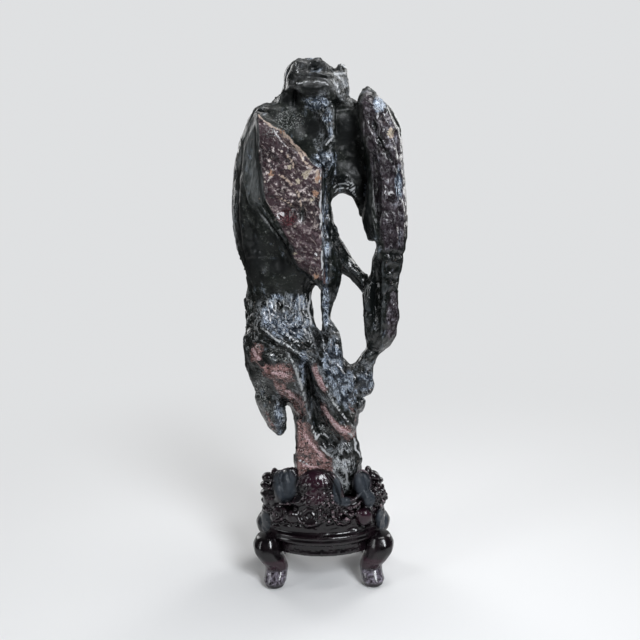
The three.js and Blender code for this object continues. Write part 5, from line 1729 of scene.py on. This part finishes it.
upper = np.clip((carved.points[:, 2] - CARVING_FOOT) / 5, 0, 1) * (1 - carved.front)
apron = np.clip((APRON_TOP - carved.points[:, 2]) / 3, 0, 1)
tooled = (knobby + bank) * carved.front * 1.4 * (lumps(carved.points, 4.2, 2.0, 2) - LUMP_MIDDLE)
tooled += crumpled * carved.front * 2.4 * (lumps(carved.points, 4.6, 12.0, 2) - 0.5)
tooled += 1.8 * upper * (lumps(carved.points * (1, 1, 0.6), 9.0, 22.0, 2) - LUMP_MIDDLE)
tooled += apron * 0.35 * (lumps(carved.points, 3.0, 8.0, 2) - LUMP_MIDDLE)
carved.push(pocketed + tooled)
print("pockets:", len(POCKETS))

# %% [markdown]
# The stand rests on four cabriole feet: a round shoulder, a thin ankle and a small hoof. Each is a copy of
# its solid, remeshed and smoothed into one swelling line. Smoothing shrinks it, so it is stretched back to
# its solid's box. A groove and a bead set off the toe, and the inner side of the ankle is pushed in.

# %% The feet
FOOT_VOXEL = 0.8
FOOT_ROUNDS = 55
TOE_HEIGHT = 5.0
TOE_HALF_WIDTH = 1.3
BEAD_ABOVE_TOE = 2.4
BEAD_HALF_WIDTH = 1.5
ANKLE_MIDDLE = 19.0
ANKLE_REACH = 10.0
GROOVE_DEPTH, BEAD_HEIGHT, ANKLE_DEPTH = 0.5, 0.3, 3.6


def band(height, middle, half_width):
    """1 at this height, and down to 0 at half the width above and below it."""
    return np.clip(1 - np.abs(height - middle) / half_width, 0, 1)


feet = []
for node in ("foot_front_left", "foot_front_right", "foot_back_left", "foot_back_right"):
    foot = merged_copy(node, node.replace("_", " "))
    apply_modifier(foot, "REMESH", mode="VOXEL", voxel_size=FOOT_VOXEL * MM, adaptivity=0)
    apply_modifier(foot, "SMOOTH", factor=0.5, iterations=FOOT_ROUNDS)
    low, high = (np.array(corner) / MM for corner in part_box(node))
    points = points_of(foot)
    share = (points - points.min(axis=0)) / np.ptp(points, axis=0)
    set_points(foot, low + share * (high - low))
    shaped = Sculpture(foot)
    height = shaped.points[:, 2]
    outward = -np.sign(shaped.points[:, 1].mean() - MIDDLE_Y)
    groove = band(height, TOE_HEIGHT, TOE_HALF_WIDTH)
    bead = band(height, TOE_HEIGHT + BEAD_ABOVE_TOE, BEAD_HALF_WIDTH)
    inner_side = np.clip(-shaped.normals[:, 1] * outward, 0, 1)
    ankle = band(height, ANKLE_MIDDLE, ANKLE_REACH) ** 1.5 * inner_side
    shaped.push(-GROOVE_DEPTH * groove + BEAD_HEIGHT * bead - ANKLE_DEPTH * ankle)
    set_points(foot, np.clip(shaped.points, low, high))
    foot.name = node + "_carved"
    feet.append((foot, node))
print("points of a foot:", len(foot.data.vertices))

# %% [markdown]
# Rosewood is a red-brown wood, but under many coats of dark lacquer it is almost black. Burgundy shows where
# the coat is thin, on the dome, the round boss and the ankles. The smooth petals round the stone get a
# painted slate-blue sheen, and the hooves a streaked grey painted reflection. Attributes say where, as on the
# stone.

# %% Attributes of the wood
# Where the smooth petals get a painted bluish sheen.
SLATE_SHEEN_PLACES = [
    ((-40, 98), (17, 26)), ((42, 98), (12, 20)), ((-62, 56), (8, 15)), ((63, 57), (9, 16)),
    ((15, 92), (6, 20)), ((50, 80), (8, 12)), ((23, 78), (9, 7)),
]
BURGUNDY_PLACES = [((-8, 104), (19, 14)), ((43, 60), (12, 13)), ((-8, 84), (16, 12))]
ANKLE_LOW, ANKLE_HIGH, HOOF_LOW = 18.0, 34.0, 4.0
HOOF_HIGH = 20.0
EDGE_ROUNDS = 8
ANKLE_FADE, HOOF_FADE = 4, 3


def between(height, low, high, fade):
    """1 between two heights and 0 outside, mixed over the fade."""
    return np.clip((height - low) / fade, 0, 1) * np.clip((high - height) / fade, 0, 1)


for piece in [stand, *(foot for foot, _ in feet)]:
    seen = Sculpture(piece)
    slate_sheen = spots_of(seen.view, 1.5, SLATE_SHEEN_PLACES) * seen.front
    # The back gets patches of the painted sheen by chance.
    sheen_behind = 0.6 * (1 - seen.front) * (noise(seen.points, 14.0, 5.0) > 0.25)
    save_attribute(piece, "slate_sheen", slate_sheen + sheen_behind)
    burgundy = spots_of(seen.view, 1.3, BURGUNDY_PLACES) * seen.front
    height = seen.points[:, 2]
    ankle = between(height, ANKLE_LOW, ANKLE_HIGH, ANKLE_FADE)
    save_attribute(piece, "burgundy", burgundy + ankle * (piece is not stand))
    # The hooves get a painted reflection, a streaked grey.
    hoof_sheen = between(height, HOOF_LOW, HOOF_HIGH, HOOF_FADE)
    save_attribute(piece, "hoof_sheen", hoof_sheen * (piece is not stand))
    save_attribute(piece, "worn", 0.5 + seen.height_above(EDGE_ROUNDS))

# %% [markdown]
# The lacquer is a clear coat over the dark wood. It is worn on every edge of the carving, where the paler
# wood under it shows, and the highest edges get painted glints. It is dull on the slate petals, whose bluish
# sheen is painted. Long pores run level round the stand, as the block's grain does.

# %% Finish of the wood: colours
LACQUER_BLACK = (0.003, 0.002, 0.0028)
LACQUER_BROWN = (0.008, 0.004, 0.006)
BURGUNDY_DARK = (0.010, 0.004, 0.007)
BURGUNDY = (0.032, 0.009, 0.018)
WORN_WOOD = (0.045, 0.024, 0.031)
EDGE_GLINT_WOOD = (0.24, 0.18, 0.20)
HOOF_SHEEN_DARK = (0.11, 0.095, 0.115)
HOOF_SHEEN_PALE = (0.25, 0.23, 0.28)
PETAL_SHEEN_DARK = (0.014, 0.018, 0.023)
PETAL_SLATE_SHEEN = (0.042, 0.050, 0.062)
PORE_BLACK = (0.003, 0.002, 0.003)
wood_finish, tree, shader = new_material("lacquered rosewood")
place = add_node(tree, "TexCoord").outputs["Object"]
cloudy = grain(tree, place, size=14, detail=4)
close = grain(tree, place, size=3.0, detail=4, rough=0.6)
pores = grain(tree, drawn_out(tree, place, 4, 9.0), size=0.9, detail=3, rough=0.6)
colour = blend(tree, step(tree, cloudy, 0.35, 0.7), LACQUER_BLACK, LACQUER_BROWN)
red = ragged(tree, attribute_value(tree, "burgundy"), cloudy, width=0.4, amount=1.0)
colour = blend(tree, red, colour, blend(tree, cloudy, BURGUNDY_DARK, BURGUNDY))
worn = attribute_value(tree, "worn")
thin = both(tree, step(tree, worn, 0.6, 1.0), step(tree, close, 0.35, 0.65))
colour = blend(tree, thin, colour, WORN_WOOD)
# Painted glints on the highest edges.
edge = both(tree, step(tree, worn, 0.80, 1.0), step(tree, close, 0.48, 0.60))
colour = blend(tree, edge, colour, EDGE_GLINT_WOOD)
# Painted reflection: a streaked lilac grey on the hooves.
hoof_sheen = both(tree, attribute_value(tree, "hoof_sheen"), step(tree, close, 0.34, 0.60))
colour = blend(tree, hoof_sheen, colour, blend(tree, step(tree, close, 0.5, 0.7), HOOF_SHEEN_DARK, HOOF_SHEEN_PALE))
# Painted sheen: a bluish slate sheen on the smooth petals.
slate_sheen = ragged(tree, attribute_value(tree, "slate_sheen"), cloudy, width=0.4, amount=0.8)
colour = blend(tree, slate_sheen, colour, blend(tree, close, PETAL_SHEEN_DARK, PETAL_SLATE_SHEEN))
colour = blend(tree, step(tree, pores, 0.55, 0.75, 0.0, 0.4), colour, PORE_BLACK)
tree.links.new(colour, shader.inputs["Base Color"])

# %% Finish of the wood: gloss and relief
CARVED_RELIEF = 0.5
PORE_RELIEF = 0.12
lacquer = step(tree, cloudy, 0.3, 0.7, 0.14, 0.30)
dull = step(tree, slate_sheen, 0.0, 1.0, 0.0, 0.26)
tree.links.new(calculate(tree, "ADD", lacquer, dull), shader.inputs["Roughness"])
tree.links.new(step(tree, slate_sheen, 0.0, 1.0, 0.40, 0.03), shader.inputs["Coat Weight"])
shader.inputs["Specular IOR Level"].default_value = 0.30
shader.inputs["Coat Roughness"].default_value = 0.09
bump = bumped(tree, close, 0.3, CARVED_RELIEF)
bump = bumped(tree, pores, 0.2, PORE_RELIEF, below=bump)
tree.links.new(bump, shader.inputs["Normal"])

# %% The wooden pieces' places in the model
for piece, node in [(stand, "stand"), *feet]:
    piece.data.materials.clear()
    piece.data.materials.append(wood_finish)
    only(piece)
    bpy.ops.object.shade_smooth()
    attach(piece, "root")
    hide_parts(node)
stand.name = "carved_stand"
print("wooden pieces:", 1 + len(feet))

# %% [markdown]
# The stage is plain: a pale floor that runs on into a pale room. The room is pale to the eye but dim as a
# light, and lighter behind the stone, so that the polish mirrors it only at the edges.

# %% The room
ROOM_COLOUR = (0.74, 0.75, 0.76)
DIM_LIGHT = 0.05
BACK_LIGHT = 0.42
world = bpy.data.worlds.new("pale room")
bpy.context.scene.world = world
world.use_nodes = True
tree = world.node_tree
background = tree.nodes["Background"]
direction = add_node(tree, "SeparateXYZ", {"Vector": add_node(tree, "TexCoord").outputs["Generated"]}).outputs
glow = step(tree, direction["Y"], -0.1, 0.9, DIM_LIGHT, BACK_LIGHT)
seen = add_node(tree, "LightPath").outputs["Is Camera Ray"]
strength = add_node(tree, "Mix", {0: seen, 2: glow, 3: 1.0}, data_type="FLOAT").outputs[0]
tree.links.new(strength, background.inputs["Strength"])
background.inputs["Color"].default_value = (*ROOM_COLOUR, 1)

# %% [markdown]
# The floor is lit round the object only, so that its shadow shows, and fades into the room's own colour
# further out. A plane of limited size would show its edge.

# %% The floor
FLOOR_SIZE = 60.0
LIT_RADIUS = 0.11
FADE_RADIUS = 0.75
bpy.ops.object.select_all(action="DESELECT")
bpy.ops.mesh.primitive_plane_add(size=FLOOR_SIZE, location=(0, 0, 0))
floor = bpy.context.object
floor.name = "floor"
floor_finish, tree, shader = new_material("pale floor")
shader.inputs["Base Color"].default_value = (0.80, 0.80, 0.80, 1)
shader.inputs["Roughness"].default_value = 0.8
shader.inputs["Specular IOR Level"].default_value = 0.15
distance = add_node(tree, "VectorMath", {0: add_node(tree, "TexCoord").outputs["Object"]}, operation="LENGTH")
fade = step(tree, distance.outputs["Value"], LIT_RADIUS, FADE_RADIUS)
seen = add_node(tree, "LightPath").outputs["Is Camera Ray"]
far_strength = add_node(tree, "Mix", {0: seen, 2: DIM_LIGHT, 3: 1.0}, data_type="FLOAT").outputs[0]
far = add_node(tree, "Emission", {"Color": (*ROOM_COLOUR, 1), "Strength": far_strength}).outputs[0]
mixed = add_node(tree, "MixShader", {0: fade, 1: shader.outputs[0], 2: far}).outputs[0]
tree.links.new(mixed, tree.nodes["Material Output"].inputs["Surface"])
floor.data.materials.append(floor_finish)
print("radius of the lit floor in m:", LIT_RADIUS)

# %% [markdown]
# A large rectangle of light gives soft shadows and long highlights, like a window. Four weaker ones keep
# the dark stone's sides and back from going black, from wherever it is seen.

# %% The lights
AIM = (0, 0, 0.28)


def soft_light(name, place, size, power, tint):
    """A rectangle of light that looks at the middle of the stone."""
    bpy.ops.object.light_add(type="AREA", location=place)
    lamp = bpy.context.object
    lamp.name = name
    lamp.data.shape = "RECTANGLE"
    lamp.data.size, lamp.data.size_y = size
    lamp.data.energy = power
    lamp.data.color = tint
    away = [there - here for there, here in zip(AIM, place)]
    lamp.rotation_euler = (
        math.atan2(math.hypot(away[0], away[1]), -away[2]),
        0,
        math.atan2(away[0], -away[1]) + math.pi,
    )
    return lamp


soft_light("window", (0.55, -1.1, 0.95), (0.42, 0.65), 19, (0.93, 0.96, 1.0))
soft_light("fill", (-1.1, -0.7, 0.6), (0.3, 0.9), 4, (0.95, 0.98, 1.0))
soft_light("top", (0.2, 0.1, 1.4), (0.6, 0.6), 7, (1, 1, 1))
soft_light("back left", (-0.9, 1.0, 0.7), (0.5, 1.0), 5, (1, 1, 1))
soft_light("back right", (1.0, 1.0, 0.7), (0.5, 1.0), 7, (1, 1, 1))
bpy.context.scene.view_settings.view_transform = "Standard"
